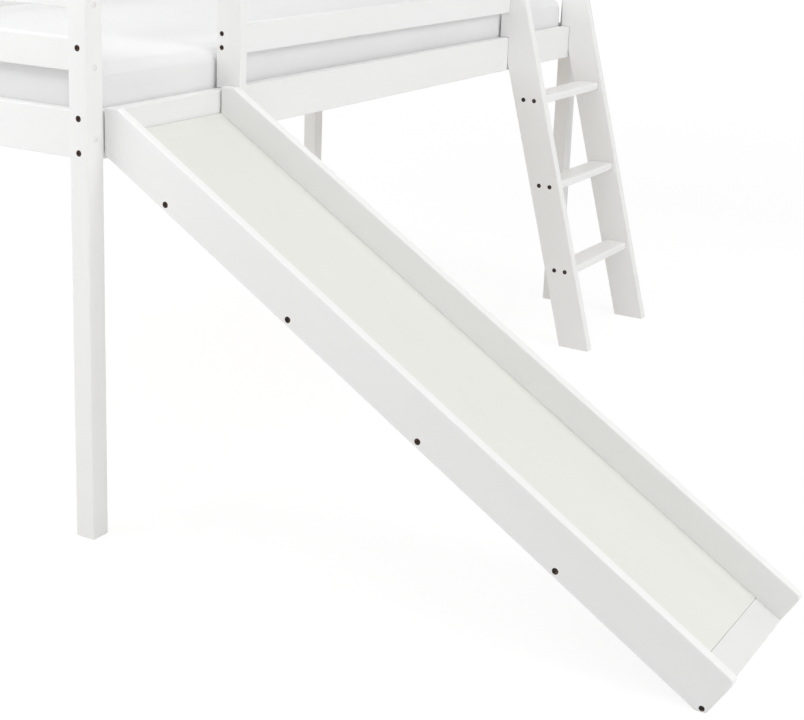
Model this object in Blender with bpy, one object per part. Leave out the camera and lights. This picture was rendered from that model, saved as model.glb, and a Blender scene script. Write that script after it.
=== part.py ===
"""Raised single bed with a slide and a slanted ladder.

A white painted pine bed frame stands on four square posts. Side and end rails
carry ledgers, slats and a mattress, and guard boards run round the top. The
slide leans on the front rail in the left bay, beside the corner post. The
ladder hangs over the front rail in the right bay, beside the other post.

Metres, +Z up. The origin is on the floor, at the middle of the object's box.
The long side with the slide and the ladder faces -Y. Inside the script the
pieces are placed from the bed's own corner: x from the left end, y from the
front faces of the posts, towards the back.
"""

from math import cos, pi, radians, sin, tan

import bmesh
import bpy

# Fits between pieces
FIT_GAP = 0.0003
CUT_OVERRUN = 0.004

# Bed frame
BED_LENGTH = 2.060
BED_WIDTH = 0.880
POST_SIDE = 0.041
POST_HEIGHT = 1.035
POST_EASE = 0.0025
BOARD_EASE = 0.002
RAIL_HEIGHT = 0.084
RAIL_THICKNESS = 0.024
SIDE_SET_BACK = 0.002
END_SET_BACK = 0.005
END_RAIL_LIFT = 0.003

# Guard boards, counted down from the tops of the posts
GUARD_HEIGHT = 0.056
GUARD_TOP_DROP = 0.021
GUARD_SECOND_GAP = 0.050
GUARD_FIRST_GAP = 0.063
END_GUARD_LIFT = 0.007
GUARD_POST_THICKNESS = 0.022
GUARD_POST_FRONT = 0.0315
GUARD_POST_CORNER = 0.012

# Ledgers, slats and mattress
LEDGER_HEIGHT = 0.024
LEDGER_THICKNESS = 0.022
LEDGER_ABOVE_RAIL_FOOT = 0.002
SLAT_COUNT = 14
SLAT_WIDTH = 0.068
SLAT_THICKNESS = 0.018
SLAT_SIDE_CLEARANCE = 0.001
SLAT_END_MARGIN = 0.060
SLAT_EASE = 0.003
MATTRESS_SIDE_CLEARANCE = 0.004
MATTRESS_END_CLEARANCE = 0.002
MATTRESS_HEIGHT = 0.114
MATTRESS_CROWN = 0.009
MATTRESS_CORNER = 0.060
MATTRESS_EDGE = 0.026
MATTRESS_DRAW_IN = 0.005
MATTRESS_WAIST = 0.003
MATTRESS_SIDE_STEPS = 10
MATTRESS_CORNER_STEPS = 5
MATTRESS_EDGE_STEPS = 4
MATTRESS_TOP_SHARES = (0.93, 0.80, 0.60, 0.35)

# Slide
SLIDE_ANGLE = radians(31.9)
SLIDE_POST_CLEARANCE = 0.002
SLIDE_RAIL_CLEARANCE = 0.002
SLIDE_INNER_WIDTH = 0.320
SLIDE_BOARD_THICKNESS = 0.020
SLIDE_BOARD_DEPTH = 0.086
SLIDE_HEEL_ABOVE_RAIL_FOOT = 0.0074
SLIDE_TOP_ABOVE_RAIL = 0.007
SLIDE_FLOOR_FLAT = 0.0187
SLIDE_END_CORNER = 0.010
SLIDE_EASE = 0.0025
PANEL_TOP = 0.028
PANEL_THICKNESS = 0.006
GROOVE_DEPTH = 0.006
CROSS_BAR_COUNT = 4
CROSS_BAR_WIDTH = 0.045
CROSS_BAR_UNDERSIDE = 0.002
FIRST_BAR_DISTANCE = 0.1495
BAR_PITCH = 0.3013
HEAD_BAR_WIDTH = 0.030
FOOT_BOARD_WIDTH = 0.054
FOOT_LAP = 0.014

# Ladder
LADDER_ANGLE = radians(15.08)
STRINGER_MEETS_RAIL = 0.0225
LADDER_INNER_WIDTH = 0.351
STRINGER_WIDTH = 0.0815
STRINGER_THICKNESS = 0.024
STRINGER_TOP_CORNER = 0.022
STRINGER_FOOT_CORNER = 0.004
STRINGER_EASE = 0.002
TREAD_COUNT = 3
FIRST_TREAD_Z = 0.2015
LAST_TREAD_DROP = 0.154
TREAD_DEPTH = 0.060
TREAD_THICKNESS = 0.020
TREAD_EASE = 0.004
TREAD_HOUSING = 0.008

# Bolt seats and barrel nut holes
SEAT_RADIUS = 0.0050
SEAT_DEPTH = 0.0040
SEAT_SIDES = 14
NUT_HOLE_RADIUS = 0.0050
NUT_HOLE_DEPTH = 0.0140
NUT_HOLE_FROM_END = 0.034
RAIL_BOLT_SPREAD = 0.060
RAIL_BOLT_LIFT = 0.002
END_RAIL_BOLT_RISE = 0.035
BACK_GUARD_BOLT_DROP = 0.008
END_GUARD_BOLT_RISE = 0.0075
FRONT_GUARD_BOLT_SPREAD = 0.0265
TREAD_BOLT_SPREAD = 0.030
SLIDE_BOLT_RISE = 0.0112
LAST_BOLT_FROM_END = 0.0100
LAST_BOLT_RISE = 0.0115

# Round stretches
FILLET_STEPS = 5
EASE_STEPS = 2
SHARP_ANGLE = radians(30)

# Finishes: colour, roughness, metallic
WHITE_PAINT = ((0.86, 0.86, 0.85, 1.0), 0.38, 0.0)
PANEL_PAINT = ((0.88, 0.88, 0.84, 1.0), 0.30, 0.0)
BARE_PINE = ((0.72, 0.55, 0.36, 1.0), 0.60, 0.0)
COTTON = ((0.88, 0.88, 0.88, 1.0), 0.90, 0.0)

# Places that follow from the sizes above
HIGH_GUARD_Z = POST_HEIGHT - GUARD_TOP_DROP - GUARD_HEIGHT
LOW_GUARD_Z = HIGH_GUARD_Z - GUARD_SECOND_GAP - GUARD_HEIGHT
GUARD_LEVELS = {"lower": LOW_GUARD_Z, "upper": HIGH_GUARD_Z}
RAIL_TOP_Z = LOW_GUARD_Z - GUARD_FIRST_GAP
RAIL_FOOT_Z = RAIL_TOP_Z - RAIL_HEIGHT
END_RAIL_FOOT_Z = RAIL_FOOT_Z + END_RAIL_LIFT
RAIL_BACK = SIDE_SET_BACK + RAIL_THICKNESS
INNER_LEFT = END_SET_BACK + RAIL_THICKNESS
INNER_RIGHT = BED_LENGTH - INNER_LEFT
POST_MIDDLE = POST_SIDE / 2
RAIL_LOW_X = POST_SIDE + FIT_GAP
RAIL_HIGH_X = BED_LENGTH - RAIL_LOW_X
SLIDE_LEFT_X = POST_SIDE + SLIDE_POST_CLEARANCE
SLIDE_INNER_X = SLIDE_LEFT_X + SLIDE_BOARD_THICKNESS
SLIDE_RIGHT_X = SLIDE_INNER_X + SLIDE_INNER_WIDTH
GUARD_POST_X = SLIDE_RIGHT_X + SLIDE_BOARD_THICKNESS + FIT_GAP
GUARD_POST_FAR_X = GUARD_POST_X + GUARD_POST_THICKNESS
FAR_STRINGER_X = BED_LENGTH - POST_SIDE - FIT_GAP - STRINGER_THICKNESS
LADDER_INNER_X = FAR_STRINGER_X - LADDER_INNER_WIDTH
NEAR_STRINGER_X = LADDER_INNER_X - STRINGER_THICKNESS
LADDER_SPREAD = (RAIL_FOOT_Z + STRINGER_MEETS_RAIL) * tan(LADDER_ANGLE)
TREAD_PITCH = (RAIL_TOP_Z - LAST_TREAD_DROP - FIRST_TREAD_Z) / (TREAD_COUNT - 1)
LEDGER_TOP_Z = RAIL_FOOT_Z + LEDGER_ABOVE_RAIL_FOOT + LEDGER_HEIGHT
SLAT_TOP_Z = LEDGER_TOP_Z + FIT_GAP + SLAT_THICKNESS
MATTRESS_FOOT_Z = SLAT_TOP_Z + FIT_GAP
SLIDE_HEEL_Z = RAIL_FOOT_Z + SLIDE_HEEL_ABOVE_RAIL_FOOT
SLIDE_HEAD_Y = SIDE_SET_BACK - SLIDE_RAIL_CLEARANCE
SLIDE_RUN = SLIDE_HEEL_Z / sin(SLIDE_ANGLE)
SLIDE_LENGTH = SLIDE_RUN + SLIDE_FLOOR_FLAT * cos(SLIDE_ANGLE)
PANEL_UNDERSIDE = PANEL_TOP - PANEL_THICKNESS
BAR_TOP = PANEL_UNDERSIDE - FIT_GAP
PANEL_END = SLIDE_LENGTH - FOOT_BOARD_WIDTH


def clear_scene():
    """Remove every object that the scene starts with."""
    for item in list(bpy.data.objects):
        bpy.data.objects.remove(item, do_unlink=True)


def finish_material(name, finish):
    """Make one piece's own material from a finish: colour, roughness, metallic."""
    colour, roughness, metallic = finish
    material = bpy.data.materials.new(name + "_finish")
    material.use_nodes = True
    shader = material.node_tree.nodes["Principled BSDF"]
    shader.inputs["Base Color"].default_value = colour
    shader.inputs["Roughness"].default_value = roughness
    shader.inputs["Metallic"].default_value = metallic
    return material


def add_empty(name, place, parent=None):
    """Add an empty that carries a group of pieces."""
    empty = bpy.data.objects.new(name, None)
    bpy.context.scene.collection.objects.link(empty)
    empty.location = place
    empty.parent = parent
    return empty


def add_piece(name, bm, parent, place=(0, 0, 0), finish=None):
    """Turn a bmesh into an object at its place; with no finish it is a cutter."""
    bmesh.ops.recalc_face_normals(bm, faces=bm.faces)
    mesh = bpy.data.meshes.new(name)
    bm.to_mesh(mesh)
    bm.free()
    piece = bpy.data.objects.new(name, mesh)
    bpy.context.scene.collection.objects.link(piece)
    piece.parent = parent
    piece.location = place
    if finish is None:
        piece.hide_render = True
        piece.display_type = "WIRE"
    else:
        mesh.materials.append(finish_material(name, finish))
    return piece


def ease_edges(bm, width):
    """Round over the sharp outer edges by the given width."""
    sharp = [
        edge
        for edge in bm.edges
        if edge.is_convex and edge.calc_face_angle() > SHARP_ANGLE
    ]
    bmesh.ops.bevel(
        bm, geom=sharp, offset=width, segments=EASE_STEPS, affect="EDGES", profile=0.5
    )


def box_bmesh(size, ease=0):
    """A box from zero to size, with its edges eased."""
    width, depth, height = size
    return prism_bmesh([(0, 0), (depth, 0), (depth, height), (0, height)], width, ease)


def prism_bmesh(outline, thickness, ease=0):
    """Extrude an outline of (y, z) points along +X, with its edges eased."""
    bm = bmesh.new()
    ring = [bm.verts.new((0, y, z)) for y, z in outline]
    face = bm.faces.new(ring)
    grown = bmesh.ops.extrude_face_region(bm, geom=[face])
    moved = [item for item in grown["geom"] if isinstance(item, bmesh.types.BMVert)]
    bmesh.ops.translate(bm, verts=moved, vec=(thickness, 0, 0))
    bmesh.ops.recalc_face_normals(bm, faces=bm.faces)
    if ease:
        ease_edges(bm, ease)
    return bm


def fillet(corners):
    """Outline points from corners (y, z, radius); an arc stands in for each round one."""
    outline = []
    count = len(corners)
    for index, (y, z, radius) in enumerate(corners):
        if not radius:
            outline.append((y, z))
            continue
        to_last = unit(corners[index - 1], (y, z))
        to_next = unit(corners[(index + 1) % count], (y, z))
        half_cos = ((1 + to_last[0] * to_next[0] + to_last[1] * to_next[1]) / 2) ** 0.5
        half_sin = (1 - half_cos * half_cos) ** 0.5
        reach = radius * half_cos / half_sin
        middle = unit((to_last[0] + to_next[0], to_last[1] + to_next[1]), (0, 0))
        centre = (y + middle[0] * radius / half_sin, z + middle[1] * radius / half_sin)
        start = (y + to_last[0] * reach - centre[0], z + to_last[1] * reach - centre[1])
        end = (y + to_next[0] * reach - centre[0], z + to_next[1] * reach - centre[1])
        for step in range(FILLET_STEPS + 1):
            share = step / FILLET_STEPS
            blend = unit(
                (
                    start[0] * (1 - share) + end[0] * share,
                    start[1] * (1 - share) + end[1] * share,
                ),
                (0, 0),
            )
            outline.append((centre[0] + blend[0] * radius, centre[1] + blend[1] * radius))
    return outline


def unit(point, origin):
    """The unit vector from origin to point, in the outline's plane."""
    run, rise = point[0] - origin[0], point[1] - origin[1]
    length = (run * run + rise * rise) ** 0.5
    return run / length, rise / length


def round_cutter_bmesh(places, axis, radius, depth):
    """Round blind cutters, each from a mouth at its place, along a signed axis.

    axis is "+X", "-X", "+Y" or "-Y", the way that the cutter goes into the wood.
    """
    bm = bmesh.new()
    sign = 1 if axis[0] == "+" else -1
    along = 0 if axis[1] == "X" else 1
    across = 1 - along
    for place in places:
        rings = []
        for travel in (-CUT_OVERRUN, depth):
            ring = []
            for side in range(SEAT_SIDES):
                turn = 2 * pi * side / SEAT_SIDES
                point = [0, 0, place[2] + radius * sin(turn)]
                point[along] = place[along] + sign * travel
                point[across] = place[across] + radius * cos(turn)
                ring.append(bm.verts.new(point))
            rings.append(ring)
        bm.faces.new(rings[0])
        bm.faces.new(reversed(rings[1]))
        bmesh.ops.bridge_loops(bm, edges=ring_edges(bm, rings))
    return bm


def ring_edges(bm, rings):
    """The edges of closed rings of vertices, made where they are missing."""
    edges = []
    for ring in rings:
        for index, vert in enumerate(ring):
            pair = (vert, ring[index - 1])
            edges.append(bm.edges.get(pair) or bm.edges.new(pair))
    return edges


def cut(piece, cutter):
    """Take the cutter's shape out of the piece."""
    cutter.parent = piece
    modifier = piece.modifiers.new(cutter.name, "BOOLEAN")
    modifier.operation = "DIFFERENCE"
    modifier.solver = "EXACT"
    modifier.object = cutter


def seat_bolts(piece, places, axis, label="bolt_seats"):
    """Cut flat bottomed seats for bolt heads, at places in the piece's own space."""
    bm = round_cutter_bmesh(places, axis, SEAT_RADIUS, SEAT_DEPTH)
    cut(piece, add_piece(piece.name + "_" + label, bm, piece))


def drill_nut_holes(piece, places, axis):
    """Drill the blind holes that take barrel nuts, in the piece's own space."""
    bm = round_cutter_bmesh(places, axis, NUT_HOLE_RADIUS, NUT_HOLE_DEPTH)
    cut(piece, add_piece(piece.name + "_nut_holes", bm, piece))


def add_board(name, low, high, parent, finish=WHITE_PAINT, ease=BOARD_EASE):
    """A square cut board between two corners, placed at its low corner."""
    size = [high[axis] - low[axis] for axis in range(3)]
    return add_piece(name, box_bmesh(size, ease), parent, low, finish)


def rail_bolt_rises():
    """Heights of the two bolts at each end of a side rail, above its foot."""
    middle = RAIL_HEIGHT / 2 + RAIL_BOLT_LIFT
    return [middle - RAIL_BOLT_SPREAD / 2, middle + RAIL_BOLT_SPREAD / 2]


def front_guard_bolt_rises():
    """Heights of the two bolts at each end of a front guard, above its foot."""
    middle = GUARD_HEIGHT / 2
    spread = FRONT_GUARD_BOLT_SPREAD / 2
    return [middle - spread, middle + spread]


def front_guard_bolt_levels():
    """Heights above the floor of the bolts through what ends the front guards."""
    levels = GUARD_LEVELS.values()
    return [foot_z + rise for foot_z in levels for rise in front_guard_bolt_rises()]


def build_posts(bed):
    """Four square corner posts, each with seats for the rail and guard bolts."""
    side_bolts = [RAIL_FOOT_Z + rise for rise in rail_bolt_rises()]
    end_bolts = [END_RAIL_FOOT_Z + END_RAIL_BOLT_RISE]
    for foot_z in GUARD_LEVELS.values():
        side_bolts.append(foot_z + GUARD_HEIGHT - BACK_GUARD_BOLT_DROP)
        end_bolts.append(foot_z + END_GUARD_LIFT + END_GUARD_BOLT_RISE)
    for end in ("left", "right"):
        for side in ("front", "back"):
            low_x = 0 if end == "left" else BED_LENGTH - POST_SIDE
            low_y = 0 if side == "front" else BED_WIDTH - POST_SIDE
            high = (low_x + POST_SIDE, low_y + POST_SIDE, POST_HEIGHT)
            name = side + "_" + end + "_post"
            post = add_board(name, (low_x, low_y, 0), high, bed, ease=POST_EASE)
            face_x = 0 if end == "left" else POST_SIDE
            face_y = 0 if side == "front" else POST_SIDE
            places = [(face_x, POST_MIDDLE, z) for z in side_bolts]
            seat_bolts(post, places, "+X" if end == "left" else "-X", "side_seats")
            places = [(POST_MIDDLE, face_y, z) for z in end_bolts]
            seat_bolts(post, places, "+Y" if side == "front" else "-Y", "end_seats")


def build_side_board(name, bed, side, foot_z, height, low_x, high_x, bolt_rises):
    """A long board of the front or the back, with nut holes in its inner face."""
    if side == "front":
        low_y, face_y, axis = SIDE_SET_BACK, RAIL_THICKNESS, "-Y"
    else:
        low_y, face_y, axis = BED_WIDTH - SIDE_SET_BACK - RAIL_THICKNESS, 0, "+Y"
    high = (high_x, low_y + RAIL_THICKNESS, foot_z + height)
    board = add_board(name, (low_x, low_y, foot_z), high, bed)
    ends = (NUT_HOLE_FROM_END, high_x - low_x - NUT_HOLE_FROM_END)
    places = [(x, face_y, rise) for x in ends for rise in bolt_rises]
    drill_nut_holes(board, places, axis)
    return board


def build_end_board(name, bed, end, foot_z, height, bolt_rise):
    """A short board between two posts of one end, with nut holes inside."""
    if end == "left":
        low_x, face_x, axis = END_SET_BACK, RAIL_THICKNESS, "-X"
    else:
        low_x, face_x, axis = BED_LENGTH - END_SET_BACK - RAIL_THICKNESS, 0, "+X"
    low_y = POST_SIDE + FIT_GAP
    high_y = BED_WIDTH - low_y
    high = (low_x + RAIL_THICKNESS, high_y, foot_z + height)
    board = add_board(name, (low_x, low_y, foot_z), high, bed)
    ends = (NUT_HOLE_FROM_END, high_y - low_y - NUT_HOLE_FROM_END)
    drill_nut_holes(board, [(face_x, y, bolt_rise) for y in ends], axis)
    return board


def build_rails_and_guards(bed):
    """The four rails of the bed box and the guard boards above them."""
    span = (RAIL_LOW_X, RAIL_HIGH_X)
    rises = rail_bolt_rises()
    for side in ("front", "back"):
        name = side + "_rail"
        build_side_board(name, bed, side, RAIL_FOOT_Z, RAIL_HEIGHT, *span, rises)
    for end in ("left", "right"):
        name = end + "_end_rail"
        rise = END_RAIL_BOLT_RISE
        build_end_board(name, bed, end, END_RAIL_FOOT_Z, RAIL_HEIGHT, rise)
    front_span = (GUARD_POST_FAR_X + FIT_GAP, NEAR_STRINGER_X - FIT_GAP)
    front_rises = front_guard_bolt_rises()
    back_rises = [GUARD_HEIGHT - BACK_GUARD_BOLT_DROP]
    for level, foot_z in GUARD_LEVELS.items():
        name = "front_" + level + "_guard"
        fit = (foot_z, GUARD_HEIGHT, *front_span, front_rises)
        build_side_board(name, bed, "front", *fit)
        name = "back_" + level + "_guard"
        build_side_board(name, bed, "back", foot_z, GUARD_HEIGHT, *span, back_rises)
        for end in ("left", "right"):
            name = end + "_end_" + level + "_guard"
            fit = (foot_z + END_GUARD_LIFT, GUARD_HEIGHT, END_GUARD_BOLT_RISE)
            build_end_board(name, bed, end, *fit)


def build_guard_post(bed):
    """The upright at the slide, notched over the front rail, that ends the guards."""
    outline = fillet(
        [
            (-FIT_GAP, RAIL_FOOT_Z, 0),
            (-FIT_GAP, RAIL_TOP_Z + FIT_GAP, 0),
            (RAIL_THICKNESS, RAIL_TOP_Z + FIT_GAP, 0),
            (RAIL_THICKNESS, POST_HEIGHT, 0),
            (-GUARD_POST_FRONT, POST_HEIGHT, GUARD_POST_CORNER),
            (-GUARD_POST_FRONT, RAIL_FOOT_Z, GUARD_POST_CORNER),
        ]
    )
    bm = prism_bmesh(outline, GUARD_POST_THICKNESS, BOARD_EASE)
    place = (GUARD_POST_X, SIDE_SET_BACK, 0)
    post = add_piece("guard_post", bm, bed, place, WHITE_PAINT)
    levels = front_guard_bolt_levels()
    seat_bolts(post, [(0, RAIL_THICKNESS / 2, z) for z in levels], "+X")


def build_slats(bed):
    """Two ledgers on the side rails and the row of slats that lies on them."""
    foot_z = LEDGER_TOP_Z - LEDGER_HEIGHT
    ledger_y = {
        "front": RAIL_BACK + FIT_GAP,
        "back": BED_WIDTH - RAIL_BACK - FIT_GAP - LEDGER_THICKNESS,
    }
    for side, low_y in ledger_y.items():
        low = (RAIL_LOW_X, low_y, foot_z)
        high = (RAIL_HIGH_X, low_y + LEDGER_THICKNESS, LEDGER_TOP_Z)
        add_board(side + "_ledger", low, high, bed, BARE_PINE)
    low_y = RAIL_BACK + SLAT_SIDE_CLEARANCE
    pitch = (BED_LENGTH - 2 * SLAT_END_MARGIN - SLAT_WIDTH) / (SLAT_COUNT - 1)
    for index in range(SLAT_COUNT):
        low_x = SLAT_END_MARGIN + index * pitch
        low = (low_x, low_y, SLAT_TOP_Z - SLAT_THICKNESS)
        high = (low_x + SLAT_WIDTH, BED_WIDTH - low_y, SLAT_TOP_Z)
        name = "slat_" + str(index + 1).zfill(2)
        add_board(name, low, high, bed, BARE_PINE, SLAT_EASE)


def mattress_ring(length, width, inset, height):
    """One level of the mattress: a rounded rectangle whose sides are drawn in.

    The four sides curve inwards by a sine of the way along them, and the four
    corners are quarter circles. inset moves the whole outline inwards.
    """
    half = (length / 2 - inset, width / 2 - inset)
    radius = MATTRESS_CORNER - inset * MATTRESS_CORNER / (width / 2)
    draw = MATTRESS_DRAW_IN
    ring = []
    for quarter in range(4):
        turn = pi / 2 * quarter
        along, across = (half[0], half[1]) if quarter % 2 == 0 else (half[1], half[0])
        for step in range(MATTRESS_CORNER_STEPS + 1):
            angle = -pi / 2 + pi / 2 * step / MATTRESS_CORNER_STEPS
            u = along - radius + radius * cos(angle)
            v = -across + radius + radius * sin(angle)
            ring.append(turned(u, v, turn, height))
        for step in range(1, MATTRESS_SIDE_STEPS):
            share = step / MATTRESS_SIDE_STEPS
            u = along - draw * sin(pi * share)
            v = (across - radius) * (2 * share - 1)
            ring.append(turned(u, v, turn, height))
    return ring


def turned(u, v, turn, height):
    """A point of the plan, turned about the middle."""
    return (u * cos(turn) - v * sin(turn), u * sin(turn) + v * cos(turn), height)


def build_mattress(bed):
    """The mattress: crowned on top, rounded edges, sides drawn in, flat below."""
    length = INNER_RIGHT - INNER_LEFT - 2 * MATTRESS_END_CLEARANCE
    width = BED_WIDTH - 2 * (RAIL_BACK + MATTRESS_SIDE_CLEARANCE)
    levels = []
    for step in range(MATTRESS_EDGE_STEPS + 1):
        angle = pi / 2 * step / MATTRESS_EDGE_STEPS
        inset = MATTRESS_EDGE * (1 - sin(angle))
        levels.append((inset, MATTRESS_EDGE * (1 - cos(angle))))
    levels.append((MATTRESS_WAIST, MATTRESS_HEIGHT / 2))
    for step in range(MATTRESS_EDGE_STEPS + 1):
        angle = pi / 2 * step / MATTRESS_EDGE_STEPS
        inset = MATTRESS_EDGE * (1 - cos(angle))
        levels.append((inset, MATTRESS_HEIGHT - MATTRESS_EDGE * (1 - sin(angle))))
    bm = bmesh.new()
    rings = []
    for inset, height in levels:
        points = mattress_ring(length, width, inset, height)
        rings.append([bm.verts.new(point) for point in points])
    rim = mattress_ring(length, width, MATTRESS_EDGE, MATTRESS_HEIGHT)
    for share in MATTRESS_TOP_SHARES:
        height = MATTRESS_HEIGHT + MATTRESS_CROWN * (1 - share * share)
        rings.append([bm.verts.new((x * share, y * share, height)) for x, y, z in rim])
    for lower, upper in zip(rings, rings[1:]):
        count = len(lower)
        for index in range(count):
            after = (index + 1) % count
            bm.faces.new((lower[index], lower[after], upper[after], upper[index]))
    bm.faces.new(reversed(rings[0]))
    crown = bm.verts.new((0, 0, MATTRESS_HEIGHT + MATTRESS_CROWN))
    for index, vert in enumerate(rings[-1]):
        bm.faces.new((rings[-1][index - 1], vert, crown))
    place = (BED_LENGTH / 2, BED_WIDTH / 2, MATTRESS_FOOT_Z)
    mattress = add_piece("mattress", bm, bed, place, COTTON)
    mattress.data.shade_smooth()


def floor_rise(distance):
    """Height above the slide's underside where the floor cuts it, down the slope."""
    return (distance - SLIDE_RUN) * tan(SLIDE_ANGLE)


def slide_board_outline():
    """The side board in the slide's plane: plumb head, level top cut, floor cut."""
    head = SLIDE_TOP_ABOVE_RAIL + RAIL_TOP_Z - SLIDE_HEEL_Z
    shoulder = (head - SLIDE_BOARD_DEPTH * cos(SLIDE_ANGLE)) / sin(SLIDE_ANGLE)
    return fillet(
        [
            (0, 0, 0),
            (head * sin(SLIDE_ANGLE), head * cos(SLIDE_ANGLE), 0),
            (shoulder, SLIDE_BOARD_DEPTH, 0),
            (-SLIDE_LENGTH, SLIDE_BOARD_DEPTH, SLIDE_END_CORNER),
            (-SLIDE_LENGTH, floor_rise(SLIDE_LENGTH), 0),
            (-SLIDE_RUN, 0, 0),
        ]
    )


def panel_outline(grow=0, reach=0):
    """The sliding panel's long section, plumb at its head.

    grow widens it all round and reach carries its head on, for a groove's cutter.
    """
    low, high = PANEL_UNDERSIDE - grow, PANEL_TOP + grow
    end = -PANEL_END + FIT_GAP - grow
    lean = tan(SLIDE_ANGLE)
    return [(low * lean + reach, low), (high * lean + reach, high), (end, high), (end, low)]


def bar_distances():
    """Distances down the slope to the middles of the cross bars."""
    return [FIRST_BAR_DISTANCE + index * BAR_PITCH for index in range(CROSS_BAR_COUNT)]


def build_slide(bed):
    """Side boards grooved for the panel, bars under it and a board at the foot."""
    place = (0, SLIDE_HEAD_Y, SLIDE_HEEL_Z)
    slide = add_empty("slide_frame", place, bed)
    slide.rotation_euler.x = SLIDE_ANGLE
    bolts = [(-distance, SLIDE_BOLT_RISE) for distance in bar_distances()]
    bolts.append((LAST_BOLT_FROM_END - SLIDE_LENGTH, LAST_BOLT_RISE))
    for side in ("left", "right"):
        left = side == "left"
        bm = prism_bmesh(slide_board_outline(), SLIDE_BOARD_THICKNESS, SLIDE_EASE)
        low_x = SLIDE_LEFT_X if left else SLIDE_RIGHT_X
        name = "slide_" + side + "_board"
        board = add_piece(name, bm, slide, (low_x, 0, 0), WHITE_PAINT)
        outline = panel_outline(FIT_GAP, CUT_OVERRUN)
        groove = prism_bmesh(outline, GROOVE_DEPTH + CUT_OVERRUN)
        groove_x = SLIDE_BOARD_THICKNESS - GROOVE_DEPTH if left else -CUT_OVERRUN
        cut(board, add_piece(name + "_groove", groove, board, (groove_x, 0, 0)))
        face_x = 0 if left else SLIDE_BOARD_THICKNESS
        places = [(face_x, y, z) for y, z in bolts]
        seat_bolts(board, places, "+X" if left else "-X")

    edge = GROOVE_DEPTH - FIT_GAP
    bm = prism_bmesh(panel_outline(), SLIDE_INNER_WIDTH + 2 * edge)
    add_piece("slide_panel", bm, slide, (SLIDE_INNER_X - edge, 0, 0), PANEL_PAINT)

    inside = (SLIDE_INNER_X + FIT_GAP, SLIDE_RIGHT_X - FIT_GAP)
    for index, distance in enumerate(bar_distances()):
        low = (inside[0], -distance - CROSS_BAR_WIDTH / 2, CROSS_BAR_UNDERSIDE)
        high = (inside[1], -distance + CROSS_BAR_WIDTH / 2, BAR_TOP)
        add_board("slide_cross_bar_" + str(index + 1), low, high, slide)

    bar_width = inside[1] - inside[0]
    lean = tan(SLIDE_ANGLE)
    outline = [
        (CROSS_BAR_UNDERSIDE * lean, CROSS_BAR_UNDERSIDE),
        (BAR_TOP * lean, BAR_TOP),
        (-HEAD_BAR_WIDTH, BAR_TOP),
        (-HEAD_BAR_WIDTH, CROSS_BAR_UNDERSIDE),
    ]
    bm = prism_bmesh(outline, bar_width)
    add_piece("slide_head_bar", bm, slide, (inside[0], 0, 0), WHITE_PAINT)

    underside_meets_floor = SLIDE_RUN + CROSS_BAR_UNDERSIDE / lean
    outline = [
        (-PANEL_END + FOOT_LAP, CROSS_BAR_UNDERSIDE),
        (-PANEL_END + FOOT_LAP, BAR_TOP),
        (-PANEL_END, BAR_TOP),
        (-PANEL_END, PANEL_TOP),
        (-SLIDE_LENGTH, PANEL_TOP),
        (-SLIDE_LENGTH, floor_rise(SLIDE_LENGTH)),
        (-underside_meets_floor, CROSS_BAR_UNDERSIDE),
    ]
    bm = prism_bmesh(outline, bar_width, BOARD_EASE / 2)
    add_piece("slide_foot_board", bm, slide, (inside[0], 0, 0), WHITE_PAINT)


def stringer_rear(height):
    """The stringer's rear edge, measured from the rail's front face."""
    return -LADDER_SPREAD + height * tan(LADDER_ANGLE)


def stringer_middle(height):
    """The middle of the stringer at a height, measured from the rail's front face."""
    return stringer_rear(height) - STRINGER_WIDTH / cos(LADDER_ANGLE) / 2


def stringer_outline():
    """A slanted board with a bird's mouth over the rail and an upright top."""
    across = STRINGER_WIDTH / cos(LADDER_ANGLE)
    lean = tan(LADDER_ANGLE)
    plumb_foot = (LADDER_SPREAD - FIT_GAP) / lean
    bend = (LADDER_SPREAD + across - GUARD_POST_FRONT) / lean
    return fillet(
        [
            (stringer_rear(0), 0, 0),
            (-FIT_GAP, plumb_foot, 0),
            (-FIT_GAP, RAIL_TOP_Z + FIT_GAP, 0),
            (RAIL_THICKNESS, RAIL_TOP_Z + FIT_GAP, 0),
            (RAIL_THICKNESS, POST_HEIGHT, 0),
            (-GUARD_POST_FRONT, POST_HEIGHT, STRINGER_TOP_CORNER),
            (-GUARD_POST_FRONT, bend, 0),
            (stringer_rear(0) - across, 0, STRINGER_FOOT_CORNER),
        ]
    )


def tread_levels():
    """Heights of the middles of the treads."""
    return [FIRST_TREAD_Z + index * TREAD_PITCH for index in range(TREAD_COUNT)]


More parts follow.
